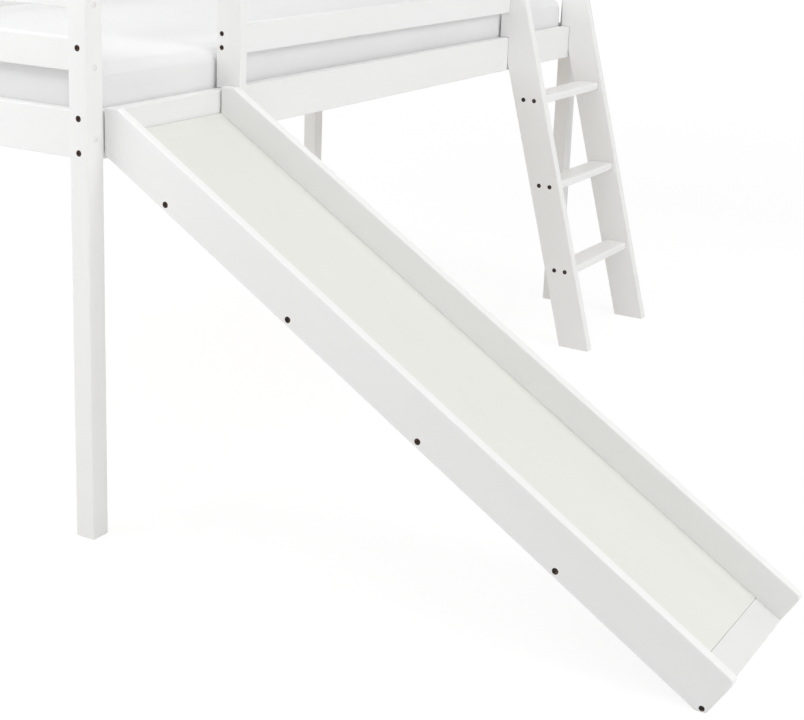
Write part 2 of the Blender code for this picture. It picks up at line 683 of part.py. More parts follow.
def build_ladder(bed):
    """Two stringers that hang over the front rail, with treads housed between."""
    ladder = add_empty("ladder_frame", (0, SIDE_SET_BACK, 0), bed)
    housing_half = (TREAD_DEPTH / 2 + FIT_GAP, TREAD_THICKNESS / 2 + FIT_GAP)
    for side in ("near", "far"):
        near = side == "near"
        bm = prism_bmesh(stringer_outline(), STRINGER_THICKNESS, STRINGER_EASE)
        low_x = NEAR_STRINGER_X if near else FAR_STRINGER_X
        name = side + "_stringer"
        stringer = add_piece(name, bm, ladder, (low_x, 0, 0), WHITE_PAINT)
        inner_x = STRINGER_THICKNESS - TREAD_HOUSING if near else -CUT_OVERRUN
        bolts = []
        for index, level in enumerate(tread_levels()):
            middle = stringer_middle(level)
            bm = box_bmesh([TREAD_HOUSING + CUT_OVERRUN] + [2 * h for h in housing_half])
            corner = (inner_x, middle - housing_half[0], level - housing_half[1])
            label = name + "_housing_" + str(index + 1)
            cut(stringer, add_piece(label, bm, stringer, corner))
            for step in (-TREAD_BOLT_SPREAD / 2, TREAD_BOLT_SPREAD / 2):
                bolts.append((0 if near else STRINGER_THICKNESS, middle + step, level))
        seat_bolts(stringer, bolts, "+X" if near else "-X")
        if near:
            levels = front_guard_bolt_levels()
            places = [(STRINGER_THICKNESS, RAIL_THICKNESS / 2, z) for z in levels]
            seat_bolts(stringer, places, "-X", "guard_seats")

    reach = TREAD_HOUSING - FIT_GAP
    for index, level in enumerate(tread_levels()):
        middle = stringer_middle(level)
        low = (LADDER_INNER_X - reach, middle - TREAD_DEPTH / 2, level - TREAD_THICKNESS / 2)
        high = (FAR_STRINGER_X + reach, middle + TREAD_DEPTH / 2, level + TREAD_THICKNESS / 2)
        add_board("tread_" + str(index + 1), low, high, ladder, ease=TREAD_EASE)


def slide_tip_y():
    """How far the slide's foot reaches in front of the posts, from its outline."""
    reaches = [
        y * cos(SLIDE_ANGLE) - z * sin(SLIDE_ANGLE) for y, z in slide_board_outline()
    ]
    return SLIDE_HEAD_Y + min(reaches)


def main():
    """Build the whole bed about its own middle."""
    clear_scene()
    middle_y = (BED_WIDTH + slide_tip_y()) / 2
    bed = add_empty("bed_corner", (-BED_LENGTH / 2, -middle_y, 0))
    build_posts(bed)
    build_rails_and_guards(bed)
    build_guard_post(bed)
    build_slats(bed)
    build_slide(bed)
    build_ladder(bed)
    build_mattress(bed)


main()
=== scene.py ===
"""Looks for a raised single bed with a slide and a slanted ladder.

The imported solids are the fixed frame. This script paints them, adds the bolts,
caps, nuts and screws that hold them together, replaces the plain mattress with a
padded one, and sets up a pale studio with a camera at the photograph's angle.
Metres, +Z up, with the long side that has the slide and the ladder facing -Y.
"""

import logging
from dataclasses import dataclass, field
from enum import Enum
from math import cos, pi, radians, sin

import bpy
import numpy as np
from mathutils import Matrix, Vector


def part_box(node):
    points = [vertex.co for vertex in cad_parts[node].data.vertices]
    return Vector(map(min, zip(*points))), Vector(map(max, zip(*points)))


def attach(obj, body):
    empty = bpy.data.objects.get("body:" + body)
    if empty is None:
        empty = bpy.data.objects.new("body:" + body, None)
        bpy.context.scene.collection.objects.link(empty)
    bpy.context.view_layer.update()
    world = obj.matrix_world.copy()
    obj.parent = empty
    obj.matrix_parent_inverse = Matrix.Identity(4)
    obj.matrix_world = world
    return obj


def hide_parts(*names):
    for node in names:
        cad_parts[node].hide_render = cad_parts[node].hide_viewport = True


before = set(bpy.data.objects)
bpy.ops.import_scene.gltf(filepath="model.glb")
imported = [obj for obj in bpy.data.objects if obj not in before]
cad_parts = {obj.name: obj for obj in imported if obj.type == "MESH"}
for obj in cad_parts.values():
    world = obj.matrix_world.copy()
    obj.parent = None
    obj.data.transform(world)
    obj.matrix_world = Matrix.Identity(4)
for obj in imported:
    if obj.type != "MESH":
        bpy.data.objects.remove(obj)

LOG = logging.getLogger("raised_bed")
FRAME_BODY = "frame"
MATTRESS_BODY = "mattress_body"
ENDS = ("left", "right")
SIDES = ("front", "back")
LEVELS = ("lower", "upper")
SLIDE_SLOPE = 31.9
LADDER_SLOPE = 74.92
GUARD_BOLT_RISES = (0.01475, 0.04125)

Material = bpy.types.Material
Piece = bpy.types.Object
Tree = bpy.types.NodeTree
Socket = bpy.types.NodeSocket
Outputs = bpy.types.bpy_prop_collection
Array = np.ndarray
Triple = tuple[float, float, float]
Colour = tuple[float, float, float]
Span = tuple[float, float]
Floats = tuple[float, ...]


class Grain(Enum):
    """The way that a board's grain runs, as a turn in degrees that lays it along X."""

    LENGTH = (0.0, 0.0, 0.0)
    DEPTH = (0.0, 0.0, -90.0)
    UPRIGHT = (-90.0, 0.0, -90.0)
    SLIDE = (-SLIDE_SLOPE, 0.0, -90.0)
    STRINGER = (-LADDER_SLOPE, 0.0, -90.0)

    def turn(self) -> Triple:
        """The turn as angles in radians."""
        return tuple(radians(angle) for angle in self.value)


def spaced(title: str) -> str:
    """A socket's name, with spaces for the underscores of a keyword."""
    return title.replace("_", " ")


class Wiring:
    """Adds shader nodes to one tree and joins them."""

    # The Mix node's sockets share their names, so its colours go by number.
    FIRST_COLOUR = 6
    SECOND_COLOUR = 7
    MIXED_COLOUR = 2

    def __init__(self, tree: Tree) -> None:
        """Keep the tree of a material, a world or a group."""
        self.tree = tree

    def node(self, kind: str, inputs: dict | None = None, **settings: object) -> bpy.types.Node:
        """Add a node and feed it.

        Args:
            kind: The node's type name.
            inputs: A link or a plain value for each input, by its name or number.
            settings: Properties to set on the node.

        Returns:
            The new node.
        """
        made = self.tree.nodes.new(kind)
        for key, value in settings.items():
            setattr(made, key, value)
        for key, source in (inputs or {}).items():
            self.feed(made.inputs[key], source)
        return made

    def feed(self, target: Socket, source: object) -> None:
        """Give an input a link or a plain value. A plain colour gets its fourth channel.

        Args:
            target: The input socket.
            source: An output socket to link from, or a plain value.
        """
        if isinstance(source, Socket):
            self.tree.links.new(source, target)
        elif target.type == "RGBA":
            target.default_value = (*source, 1.0)
        else:
            target.default_value = source

    def math(self, operation: str, *terms: object) -> Socket:
        """The result of a Math node with one to three terms, links or values."""
        return self.node("ShaderNodeMath", dict(enumerate(terms)), operation=operation).outputs[0]

    def vector_math(self, operation: str, *terms: object) -> Outputs:
        """The outputs of a Vector Math node."""
        return self.node("ShaderNodeVectorMath", dict(enumerate(terms)), operation=operation).outputs

    def axes(self, vector: Socket) -> Outputs:
        """A vector's X, Y and Z."""
        return self.node("ShaderNodeSeparateXYZ", {0: vector}).outputs

    def noise(self, vector: Socket, lumps: object, detail: float) -> Socket:
        """Noise from nought to one, with so many lumps in a metre and so many octaves."""
        inputs = {"Vector": vector, "Scale": lumps, "Detail": detail}
        return self.node("ShaderNodeTexNoise", inputs).outputs["Fac"]

    def stretched(self, vector: Socket, factors: Triple) -> Socket:
        """A vector with each axis multiplied by its own factor."""
        return self.vector_math("MULTIPLY", vector, factors)["Vector"]

    def drawn_noise(self, vector: Socket, lumps: Triple, detail: float) -> Socket:
        """Noise with its own number of lumps in a metre along each axis."""
        return self.noise(self.stretched(vector, lumps), 1.0, detail)

    def span(self, value: Socket, source: Span, target: Span = (0.0, 1.0)) -> Socket:
        """Map one span of values to another, and keep inside it."""
        terms = dict(enumerate((value, *source, *target)))
        return self.node("ShaderNodeMapRange", terms, clamp=True).outputs["Result"]

    def blend(self, share: object, first: object, second: object) -> Socket:
        """Mix two colours, with a share of the second."""
        inputs = {"Factor": share, self.FIRST_COLOUR: first, self.SECOND_COLOUR: second}
        return self.node("ShaderNodeMix", inputs, data_type="RGBA").outputs[self.MIXED_COLOUR]

    def over(self, tone: Socket, colour: Colour, mask: Socket, share: float) -> Socket:
        """Lay a share of a colour over a tone where the mask is one."""
        return self.blend(self.math("MULTIPLY", mask, share), tone, colour)

    def bump(self, height: Socket, distance: float, strength: float = 1.0) -> Socket:
        """Turn a height into a normal, with the metres that a height of one stands for."""
        inputs = {"Strength": strength, "Distance": distance, "Height": height}
        return self.node("ShaderNodeBump", inputs).outputs["Normal"]

    def mix(self, share: Socket, first: Socket, second: Socket) -> Socket:
        """Mix two shaders, with a share of the second."""
        return self.node("ShaderNodeMixShader", {0: share, 1: first, 2: second}).outputs[0]


class Group(Wiring):
    """A shared node group in the making: a vector and values in, values out."""

    def __init__(self, name: str, outputs: tuple[str, ...], **values: float) -> None:
        """Open the group.

        Args:
            name: The group's name.
            outputs: Names of its outputs, all plain values.
            values: First value of each input after the vector, with underscores for spaces.
        """
        super().__init__(bpy.data.node_groups.new(name, "ShaderNodeTree"))
        face = self.tree.interface
        face.new_socket("Vector", in_out="INPUT", socket_type="NodeSocketVector")
        for title, value in values.items():
            made = face.new_socket(spaced(title), in_out="INPUT", socket_type="NodeSocketFloat")
            made.default_value = value
        for title in outputs:
            face.new_socket(title, in_out="OUTPUT", socket_type="NodeSocketFloat")
        self.given = self.node("NodeGroupInput").outputs
        self.vector = self.given["Vector"]

    def close(self, **results: Socket) -> None:
        """Feed the outputs."""
        self.node("NodeGroupOutput", results)


class SharedEffects:
    """Shader effects that the finishes place by their groups' names."""

    def build(self) -> None:
        """Build each group once."""
        for effect in (self._wood_figure, self._edge_wear, self._settled_dust, self._plain_weave):
            effect()

    @staticmethod
    def _wood_figure() -> None:
        """Growth rings, fibres and knots of a board whose grain runs along X.

        Rings are the sawtooth of the distance from a pith line that wanders along
        the board. Fibres are noise stretched along the grain. Knots are round
        cells with the grain pushed aside round them.
        """
        wander_lumps = (1.3, 9.0, 9.0)
        knot_lumps = (3.2, 16.0, 16.0)
        fibre_lumps = (14.0, 900.0, 900.0)
        pith_aside = 0.031
        pith_below = 0.047
        knot_push = 0.7
        knot_pull_span = (0.02, 0.30)
        knot_rim_span = (0.045, 0.075)
        late_wood = 2.2
        w = Group("wood_figure", ("Rings", "Fibres", "Knots"), Ring_Width=0.004, Wander=0.012)
        slow = w.drawn_noise(w.vector, wander_lumps, detail=3.0)
        cell = {"Vector": w.stretched(w.vector, knot_lumps), "Scale": 1.0}
        away = w.node("ShaderNodeTexVoronoi", cell, feature="F1").outputs["Distance"]
        axes = w.axes(w.vector)
        across = w.math("ADD", axes["Y"], pith_aside)
        above = w.math("ADD", axes["Z"], pith_below)
        square = w.math("ADD", w.math("MULTIPLY", across, across), w.math("MULTIPLY", above, above))
        pushed = w.math("MULTIPLY_ADD", w.span(away, knot_pull_span, (1.0, 0.0)), knot_push, slow)
        wander = w.math("MULTIPLY", pushed, w.given["Wander"])
        turns = w.math("DIVIDE", w.math("ADD", w.math("SQRT", square), wander), w.given["Ring Width"])
        w.close(
            Rings=w.math("POWER", w.math("FRACT", turns), late_wood),
            Fibres=w.drawn_noise(w.vector, fibre_lumps, detail=3.0),
            Knots=w.span(away, knot_rim_span, (1.0, 0.0)),
        )

    @staticmethod
    def _edge_wear() -> None:
        """A mask of arrises: how far a rounded normal turns from the flat one."""
        flat_to_round = (0.995, 0.90)
        patch_span = (0.42, 0.62)
        least_and_most = (0.25, 1.0)
        w = Group("edge_wear", ("Mask",), Width=0.0018, Breakup=90.0)
        rounded = w.node("ShaderNodeBevel", {"Radius": w.given["Width"]}, samples=4).outputs["Normal"]
        flat = w.node("ShaderNodeNewGeometry").outputs["True Normal"]
        edge = w.span(w.vector_math("DOT_PRODUCT", rounded, flat)["Value"], flat_to_round)
        patches = w.noise(w.vector, w.given["Breakup"], detail=3.0)
        w.close(Mask=w.math("MULTIPLY", edge, w.span(patches, patch_span, least_and_most)))

    @staticmethod
    def _settled_dust() -> None:
        """A mask of upward faces, broken up by soft noise."""
        upward_span = (0.55, 0.98)
        patch_span = (0.35, 0.70)
        w = Group("settled_dust", ("Mask",), Patches=6.0)
        flat = w.node("ShaderNodeNewGeometry").outputs["True Normal"]
        upward = w.span(w.axes(flat)["Z"], upward_span)
        patches = w.noise(w.vector, w.given["Patches"], detail=5.0)
        w.close(Mask=w.math("MULTIPLY", upward, w.span(patches, patch_span)))

    @staticmethod
    def _plain_weave() -> None:
        """Threads over and under: the sum of three sines, one for each axis."""
        slub_lumps = (9.0, 160.0, 160.0)
        wave_span = (-2.0, 2.0)
        w = Group("plain_weave", ("Height", "Slubs"), Pitch=0.0011)
        axes = w.axes(w.vector)
        turns = [w.math("DIVIDE", axes[axis], w.given["Pitch"]) for axis in "XYZ"]
        waves = [w.math("SINE", w.math("MULTIPLY", turn, pi)) for turn in turns]
        total = w.math("ADD", w.math("ADD", waves[0], waves[1]), waves[2])
        slubs = w.drawn_noise(w.vector, slub_lumps, detail=4.0)
        w.close(Height=w.span(total, wave_span), Slubs=slubs)


class Coat(Wiring):
    """The wiring of a new material round its one shader."""

    def __init__(self, name: str) -> None:
        """Start the material, and find its shader and its Object coordinates.

        Args:
            name: The material's name.
        """
        self.material = bpy.data.materials.new(name)
        self.material.use_nodes = True
        super().__init__(self.material.node_tree)
        self.shader = self.tree.nodes["Principled BSDF"]
        self.coordinates = self.node("ShaderNodeTexCoord").outputs["Object"]

    def along(self, grain: Grain) -> Socket:
        """Object coordinates, turned so that the grain runs along X."""
        inputs = {"Vector": self.coordinates, "Rotation": grain.turn()}
        return self.node("ShaderNodeMapping", inputs).outputs["Vector"]

    def effect(self, name: str, vector: Socket | None = None, **values: float) -> Outputs:
        """Place a shared effect, read at Object coordinates where no vector is given."""
        inputs = {"Vector": vector or self.coordinates} | {spaced(key): values[key] for key in values}
        return self.node("ShaderNodeGroup", inputs, node_tree=bpy.data.node_groups[name]).outputs

    def shade(self, **inputs: object) -> Material:
        """Feed the shader.

        Args:
            inputs: A link or a plain value for each input, with underscores for spaces.

        Returns:
            The finished material.
        """
        for title, source in inputs.items():
            self.feed(self.shader.inputs[spaced(title)], source)
        return self.material


@dataclass(frozen=True)
class Finish:
    """What every finish has."""

    name: str


@dataclass(frozen=True)
class PaintedPine(Finish):
    """Satin white paint over pine: grain shows through only as faint relief."""

    grain: Grain = Grain.LENGTH
    colour: Colour = (0.884, 0.884, 0.880)
    shaded: Colour = (0.862, 0.861, 0.854)
    worn: Colour = (0.81, 0.785, 0.735)
    dusty: Colour = (0.80, 0.80, 0.79)
    cloud_lumps: Triple = (1.5, 7.0, 7.0)
    cloud_span: Span = (0.30, 0.72)
    fibre_span: Span = (0.30, 0.70)
    peel_lumps: float = 420.0
    ring_share: float = 0.10
    knot_share: float = 0.12
    wear_share: float = 0.22
    dust_share: float = 0.06
    roughness: Span = (0.35, 0.47)
    worn_dullness: float = 0.10
    specular: float = 0.42
    peel_relief: float = 0.22
    ring_relief: float = 0.40
    fibre_relief: float = 0.38
    relief: float = 0.00016

    def material(self) -> Material:
        """Build the material.

        Returns:
            The painted pine.
        """
        w = Coat(self.name)
        along = w.along(self.grain)
        figure = w.effect("wood_figure", along, Ring_Width=0.0046, Wander=0.016)
        wear = w.effect("edge_wear", Width=0.0016, Breakup=70.0)["Mask"]
        dust = w.effect("settled_dust", Patches=5.0)["Mask"]
        clouds = w.drawn_noise(along, self.cloud_lumps, detail=4.0)
        tone = w.blend(w.span(clouds, self.cloud_span), self.colour, self.shaded)
        tone = w.over(tone, self.shaded, figure["Rings"], self.ring_share)
        tone = w.over(tone, self.worn, figure["Knots"], self.knot_share)
        tone = w.over(tone, self.worn, wear, self.wear_share)
        tone = w.over(tone, self.dusty, dust, self.dust_share)
        streaks = w.span(figure["Fibres"], self.fibre_span, self.roughness)
        peel = w.math("MULTIPLY", w.noise(w.coordinates, self.peel_lumps, detail=2.0), self.peel_relief)
        ridges = w.math("MULTIPLY_ADD", figure["Rings"], self.ring_relief, peel)
        height = w.math("MULTIPLY_ADD", figure["Fibres"], self.fibre_relief, ridges)
        return w.shade(
            Base_Color=tone,
            Roughness=w.math("MULTIPLY_ADD", wear, self.worn_dullness, streaks),
            Specular_IOR_Level=self.specular,
            Normal=w.bump(height, self.relief),
        )


@dataclass(frozen=True)
class FootPaintWithPaintedShade(PaintedPine):
    """The same paint at the slide's foot: its tones darker as painted shade, its surface rougher as if
    dulled by feet.
    """

    # Painted shade: both tones are darker than the paint elsewhere, for the shade at the foot of the
    # slide.
    colour: Colour = (0.785, 0.785, 0.775)
    shaded: Colour = (0.765, 0.765, 0.755)
    roughness: Span = (0.41, 0.53)


@dataclass(frozen=True)
class SlideLacquer(Finish):
    """The sliding board's smooth off-white face, scuffed along the slope."""

    colour: Colour = (0.768, 0.777, 0.731)
    shaded: Colour = (0.752, 0.761, 0.712)
    scuffed: Colour = (0.70, 0.70, 0.665)
    cloud_lumps: Triple = (2.0, 6.0, 6.0)
    cloud_span: Span = (0.32, 0.70)
    dull_span: Span = (0.25, 0.75)
    scratch_lumps: Triple = (6.0, 900.0, 900.0)
    hair_span: Span = (0.66, 0.74)
    peel_lumps: float = 420.0
    hair_share: float = 0.10
    dust_share: float = 0.05
    roughness: Span = (0.38, 0.50)
    hair_dullness: float = 0.16
    scratch_relief: float = 0.3
    relief: float = 0.00002

    def material(self) -> Material:
        """Build the material.

        Returns:
            The lacquer.
        """
        w = Coat(self.name)
        along = w.along(Grain.SLIDE)
        clouds = w.drawn_noise(along, self.cloud_lumps, detail=4.0)
        scratches = w.drawn_noise(along, self.scratch_lumps, detail=2.0)
        hairs = w.span(scratches, self.hair_span)
        dust = w.effect("settled_dust", Patches=9.0)["Mask"]
        tone = w.blend(w.span(clouds, self.cloud_span), self.colour, self.shaded)
        tone = w.over(tone, self.scuffed, hairs, self.hair_share)
        tone = w.over(tone, self.scuffed, dust, self.dust_share)
        dull = w.span(clouds, self.dull_span, self.roughness)
        peel = w.noise(w.coordinates, self.peel_lumps, detail=1.0)
        height = w.math("MULTIPLY_ADD", scratches, self.scratch_relief, peel)
        return w.shade(
            Base_Color=tone,
            Roughness=w.math("MULTIPLY_ADD", hairs, self.hair_dullness, dull),
            Normal=w.bump(height, self.relief),
        )


@dataclass(frozen=True)
class BarePine(Finish):
    """Planed pine: pale early wood, darker late wood, small brown knots."""

    grain: Grain = Grain.LENGTH
    early: Colour = (0.760, 0.610, 0.410)
    late: Colour = (0.600, 0.400, 0.215)
    knotty: Colour = (0.235, 0.120, 0.055)
    dry: Colour = (0.690, 0.560, 0.390)
    board_lumps: Triple = (7.0, 0.6, 0.6)
    board_span: Span = (0.35, 0.68)
    fibre_span: Span = (0.35, 0.72)
    ring_share: float = 0.72
    fibre_share: float = 0.30
    knot_share: float = 0.85
    wear_share: float = 0.30
    roughness: Span = (0.68, 0.50)
    fibre_relief: float = 0.75
    relief: float = 0.00022

    def material(self) -> Material:
        """Build the material.

        Returns:
            The bare pine.
        """
        w = Coat(self.name)
        figure = w.effect("wood_figure", w.along(self.grain), Ring_Width=0.0052, Wander=0.030)
        wear = w.effect("edge_wear", Width=0.0020, Breakup=50.0)["Mask"]
        boards = w.drawn_noise(w.coordinates, self.board_lumps, detail=1.0)
        tone = w.blend(w.span(boards, self.board_span), self.early, self.dry)
        tone = w.over(tone, self.late, figure["Rings"], self.ring_share)
        tone = w.over(tone, self.dry, w.span(figure["Fibres"], self.fibre_span), self.fibre_share)
        tone = w.over(tone, self.knotty, figure["Knots"], self.knot_share)
        tone = w.over(tone, self.early, wear, self.wear_share)
        height = w.math("MULTIPLY_ADD", figure["Fibres"], self.fibre_relief, figure["Rings"])
        return w.shade(
            Base_Color=tone,
            Roughness=w.span(figure["Rings"], (0.0, 1.0), self.roughness),
            Normal=w.bump(height, self.relief),
        )


@dataclass(frozen=True)
class WovenCotton(Finish):
    """White cotton cover with a fine plain weave and two rows of stitches, their grooves darkened as
    painted shade.
    """

    colour: Colour = (0.835, 0.835, 0.835)
    shaded: Colour = (0.808, 0.809, 0.813)
    # Painted shade: the darker colour laid in the bare groove between stitches.
    seam_shade: Colour = (0.75, 0.75, 0.755)
    pitch: float = 0.0011
    seams: Floats = ()
    groove_half: Span = (0.0006, 0.0016)
    stitch: float = 0.0045
    stitch_end: Span = (0.68, 0.78)
    cloud_lumps: float = 3.5
    cloud_span: Span = (0.30, 0.72)
    slub_span: Span = (0.45, 0.75)
    dull_span: Span = (0.3, 0.7)
    pucker_lumps: float = 26.0
    slub_share: float = 0.18
    seam_shade_share: float = 0.5
    roughness: Span = (0.82, 0.94)
    specular: float = 0.25
    sheen: float = 0.12
    sheen_roughness: float = 0.55
    pucker_relief: float = 0.9
    groove_relief: float = -1.2
    relief: float = 0.00030
    relief_strength: float = 0.8

    def material(self) -> Material:
        """Build the material.

        Returns:
            The cotton.
        """
        w = Coat(self.name)
        weave = w.effect("plain_weave", Pitch=self.pitch)
        clouds = w.noise(w.coordinates, self.cloud_lumps, detail=5.0)
        axes = w.axes(w.coordinates)
        groove: object = 0.0
        for level in self.seams:
            away = w.math("ABSOLUTE", w.math("SUBTRACT", axes["Z"], level))
            groove = w.math("MAXIMUM", groove, w.span(away, self.groove_half, (1.0, 0.0)))
        run = w.math("ADD", axes["X"], axes["Y"])
        dash = w.math("FRACT", w.math("DIVIDE", run, self.stitch))
        thread = w.math("MULTIPLY", groove, w.span(dash, self.stitch_end, (1.0, 0.0)))
        bare_groove = w.math("SUBTRACT", groove, thread)
        tone = w.blend(w.span(clouds, self.cloud_span), self.colour, self.shaded)
        tone = w.over(tone, self.shaded, w.span(weave["Slubs"], self.slub_span), self.slub_share)
        # Painted shade in the seam's groove, on top of its bump.
        tone = w.over(tone, self.seam_shade, bare_groove, self.seam_shade_share)
        pucker = w.noise(w.coordinates, self.pucker_lumps, detail=3.0)
        rise = w.math("MULTIPLY_ADD", pucker, self.pucker_relief, weave["Height"])
        height = w.math("MULTIPLY_ADD", bare_groove, self.groove_relief, rise)
        return w.shade(
            Base_Color=tone,
            Roughness=w.span(weave["Slubs"], self.dull_span, self.roughness),
            Specular_IOR_Level=self.specular,
            Sheen_Weight=self.sheen,
            Sheen_Roughness=self.sheen_roughness,
            Normal=w.bump(height, self.relief, self.relief_strength),
        )


@dataclass(frozen=True)
class PlatedSteel(Finish):
    """Plated steel: a clouded tint, fine turning marks and duller arrises."""

    colour: Colour = (0.022, 0.019, 0.018)
    tint: Colour = (0.13, 0.07, 0.04)
    metal: float = 0.7
    roughness: Span = (0.28, 0.46)
    cloud_lumps: float = 260.0
    cloud_span: Span = (0.46, 0.70)
    mark_lumps: float = 1900.0
    mark_span: Span = (0.3, 0.7)
    wear_share: float = 0.5
    relief: float = 0.00003

    def material(self) -> Material:
        """Build the material.

        Returns:
            The plated steel.
        """
        w = Coat(self.name)
        clouds = w.noise(w.coordinates, self.cloud_lumps, detail=4.0)
        marks = w.noise(w.coordinates, self.mark_lumps, detail=2.0)
        wear = w.effect("edge_wear", Width=0.0004, Breakup=900.0)["Mask"]
        tone = w.blend(w.span(clouds, self.cloud_span), self.colour, self.tint)
        return w.shade(
            Base_Color=w.over(tone, self.tint, wear, self.wear_share),
            Metallic=self.metal,
            Roughness=w.span(marks, self.mark_span, self.roughness),
            Normal=w.bump(marks, self.relief),
        )


@dataclass(frozen=True)
class YellowZinc(PlatedSteel):
    """Yellow passivated zinc, as on barrel nuts and screws."""

    colour: Colour = (0.55, 0.38, 0.20)
    tint: Colour = (0.36, 0.22, 0.12)
    metal: float = 0.9
    roughness: Span = (0.32, 0.50)


@dataclass(frozen=True)
class MouldedCap(Finish):
    """Moulded white plastic: slight flow marks in a soft sheen."""

    colour: Colour = (0.83, 0.83, 0.82)
    shaded: Colour = (0.79, 0.79, 0.77)
    roughness: Span = (0.37, 0.48)
    flow_lumps: float = 140.0
    flow_span: Span = (0.3, 0.7)
    skin_lumps: float = 1500.0
    relief: float = 0.00002

    def material(self) -> Material:
        """Build the material.

        Returns:
            The moulded plastic.
        """
        w = Coat(self.name)
        flow = w.noise(w.coordinates, self.flow_lumps, detail=3.0)
        skin = w.noise(w.coordinates, self.skin_lumps, detail=1.0)
        return w.shade(
            Base_Color=w.blend(w.span(flow, self.flow_span), self.colour, self.shaded),
            Roughness=w.span(flow, self.flow_span, self.roughness),
            Normal=w.bump(skin, self.relief),
        )


@dataclass(frozen=True)
class Surface:
    """Points and faces of a surface, worked out as whole arrays."""

    points: Array
    quads: Array
    triangles: Array = field(default_factory=lambda: np.empty((0, 3), int))

    def repeated(self, places: Array, frames: Array) -> "Surface":
        """Set a copy of the surface at each place.

        A point (a, b, c) lands at place + a*e1 + b*e2 + c*e3, where e1, e2 and e3
        are the rows of that place's frame.

        Args:
            places: One origin for each copy, shape (n, 3).
            frames: One set of three axes for each copy, shape (n, 3, 3).

        Returns:
            All the copies as one surface.
        """
        moved = np.einsum("pk,nkc->npc", self.points, frames) + places[:, None, :]
        step = np.arange(len(places))[:, None, None] * len(self.points)
        quads = (self.quads[None] + step).reshape(-1, 4)
        triangles = (self.triangles[None] + step).reshape(-1, 3)
        return Surface(moved.reshape(-1, 3), quads, triangles)

    def piece(self, name: str, material: Material, smooth: bool = True) -> Piece:
        """Make the object.

        Args:
            name: The piece's name.
            material: Its finish.
            smooth: Whether it is smooth shaded.

        Returns:
            The object, at the origin, with its place in its mesh.
        """
        mesh = bpy.data.meshes.new(name)
        mesh.from_pydata(self.points.tolist(), [], self.quads.tolist() + self.triangles.tolist())
        mesh.polygons.foreach_set("use_smooth", np.full(len(mesh.polygons), smooth))
        mesh.materials.append(material)
        mesh.update()
        made = bpy.data.objects.new(name, mesh)
        bpy.context.scene.collection.objects.link(made)
        return made


def grid_quads(rows: int, columns: int) -> Array:
    """Faces of a grid of rings that close on themselves.

    Ring r's point c joins ring r's point c+1, ring r+1's point c+1 and ring r+1's
    point c, with c+1 counted round the ring.

    Args:
        rows: The number of rings.
        columns: The number of points in a ring.

    Returns:
        The quads, shape ((rows-1)*columns, 4).
    """
    ring = np.arange(rows - 1)[:, None] * columns
    here = np.arange(columns)[None, :]
    after = (here + 1) % columns
    quads = np.stack([ring + here, ring + after, ring + columns + after, ring + columns + here], -1)
    return quads.reshape(-1, 4)


def capped(rings: Array, low_pole: Array, high_pole: Array) -> Surface:
    """Close a stack of rings with a point at each end.

    Args:
        rings: Points, shape (rows, columns, 3), anticlockwise seen from the high end.
        low_pole: The point that closes the first ring.
        high_pole: The point that closes the last ring.

    Returns:
        The closed surface.
    """
    rows, columns, _ = rings.shape
    points = np.concatenate([rings.reshape(-1, 3), low_pole[None], high_pole[None]])
    here = np.arange(columns)
    after = (here + 1) % columns
    low = np.full(columns, rows * columns)
    last = (rows - 1) * columns
    below = np.stack([after, here, low], -1)
    above = np.stack([last + here, last + after, low + 1], -1)
    return Surface(points, grid_quads(rows, columns), np.concatenate([below, above]))


def turned_rings(radii: Array, heights: Array, sides: int, hexes: object = 0.0) -> Array:
    """Rings about +Z that may change from round to hexagonal.

    A ring's radius at angle t is (1-h)*r + h*r/cos(t'), where h is the ring's share
    of hexagon and t' is t folded into one sixth of a turn about a flat's middle.

    Args:
        radii: Each ring's radius, for a hexagon half its width across flats.
        heights: Each ring's height.
        sides: Points in a ring.
        hexes: Each ring's share of hexagon, or one share for all.

    Returns:
        Points, shape (rings, sides, 3).
    """
    angle = np.arange(sides) * 2 * pi / sides
    folded = (angle + pi / 6) % (pi / 3) - pi / 6
    share = np.broadcast_to(hexes, radii.shape)[:, None]
    reach = radii[:, None] * ((1 - share) + share / np.cos(folded)[None, :])
    levels = np.broadcast_to(heights[:, None], reach.shape)
    return np.stack([reach * np.cos(angle), reach * np.sin(angle), levels], -1)


def turned_surface(radii: Array, heights: Array, sides: int, hexes: object = 0.0) -> Surface:
    """A turned shape about +Z, closed by a point at each end."""
    poles = np.array([[0.0, 0.0, heights[0]], [0.0, 0.0, heights[-1]]])
    return capped(turned_rings(radii, heights, sides, hexes), *poles)


class Facing(Enum):
    """The outward axis of a fastener, after the two axes across it."""

    LEFT = ((0, 1, 0), (0, 0, -1), (-1, 0, 0))
    RIGHT = ((0, 1, 0), (0, 0, 1), (1, 0, 0))
    FRONT = ((1, 0, 0), (0, 0, 1), (0, -1, 0))
    BACK = ((1, 0, 0), (0, 0, -1), (0, 1, 0))
    UP = ((1, 0, 0), (0, 1, 0), (0, 0, 1))


OUTWARD = {"left": Facing.LEFT, "right": Facing.RIGHT, "front": Facing.FRONT, "back": Facing.BACK}
INWARD = {"left": Facing.RIGHT, "right": Facing.LEFT, "front": Facing.BACK, "back": Facing.FRONT}


def face_foot(name: str, facing: Facing) -> Array:
    """The foot of the middle line of one upright face of a node's box.

    Args:
        name: The node's name.
        facing: The way that the face looks.

    Returns:
        The point, shape (3,).
    """
    low, high = (np.array(corner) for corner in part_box(name))
    outward = np.array(facing.value[2])
    place = np.where(outward > 0, high, np.where(outward < 0, low, (low + high) / 2))
    place[2] = low[2]
    return place


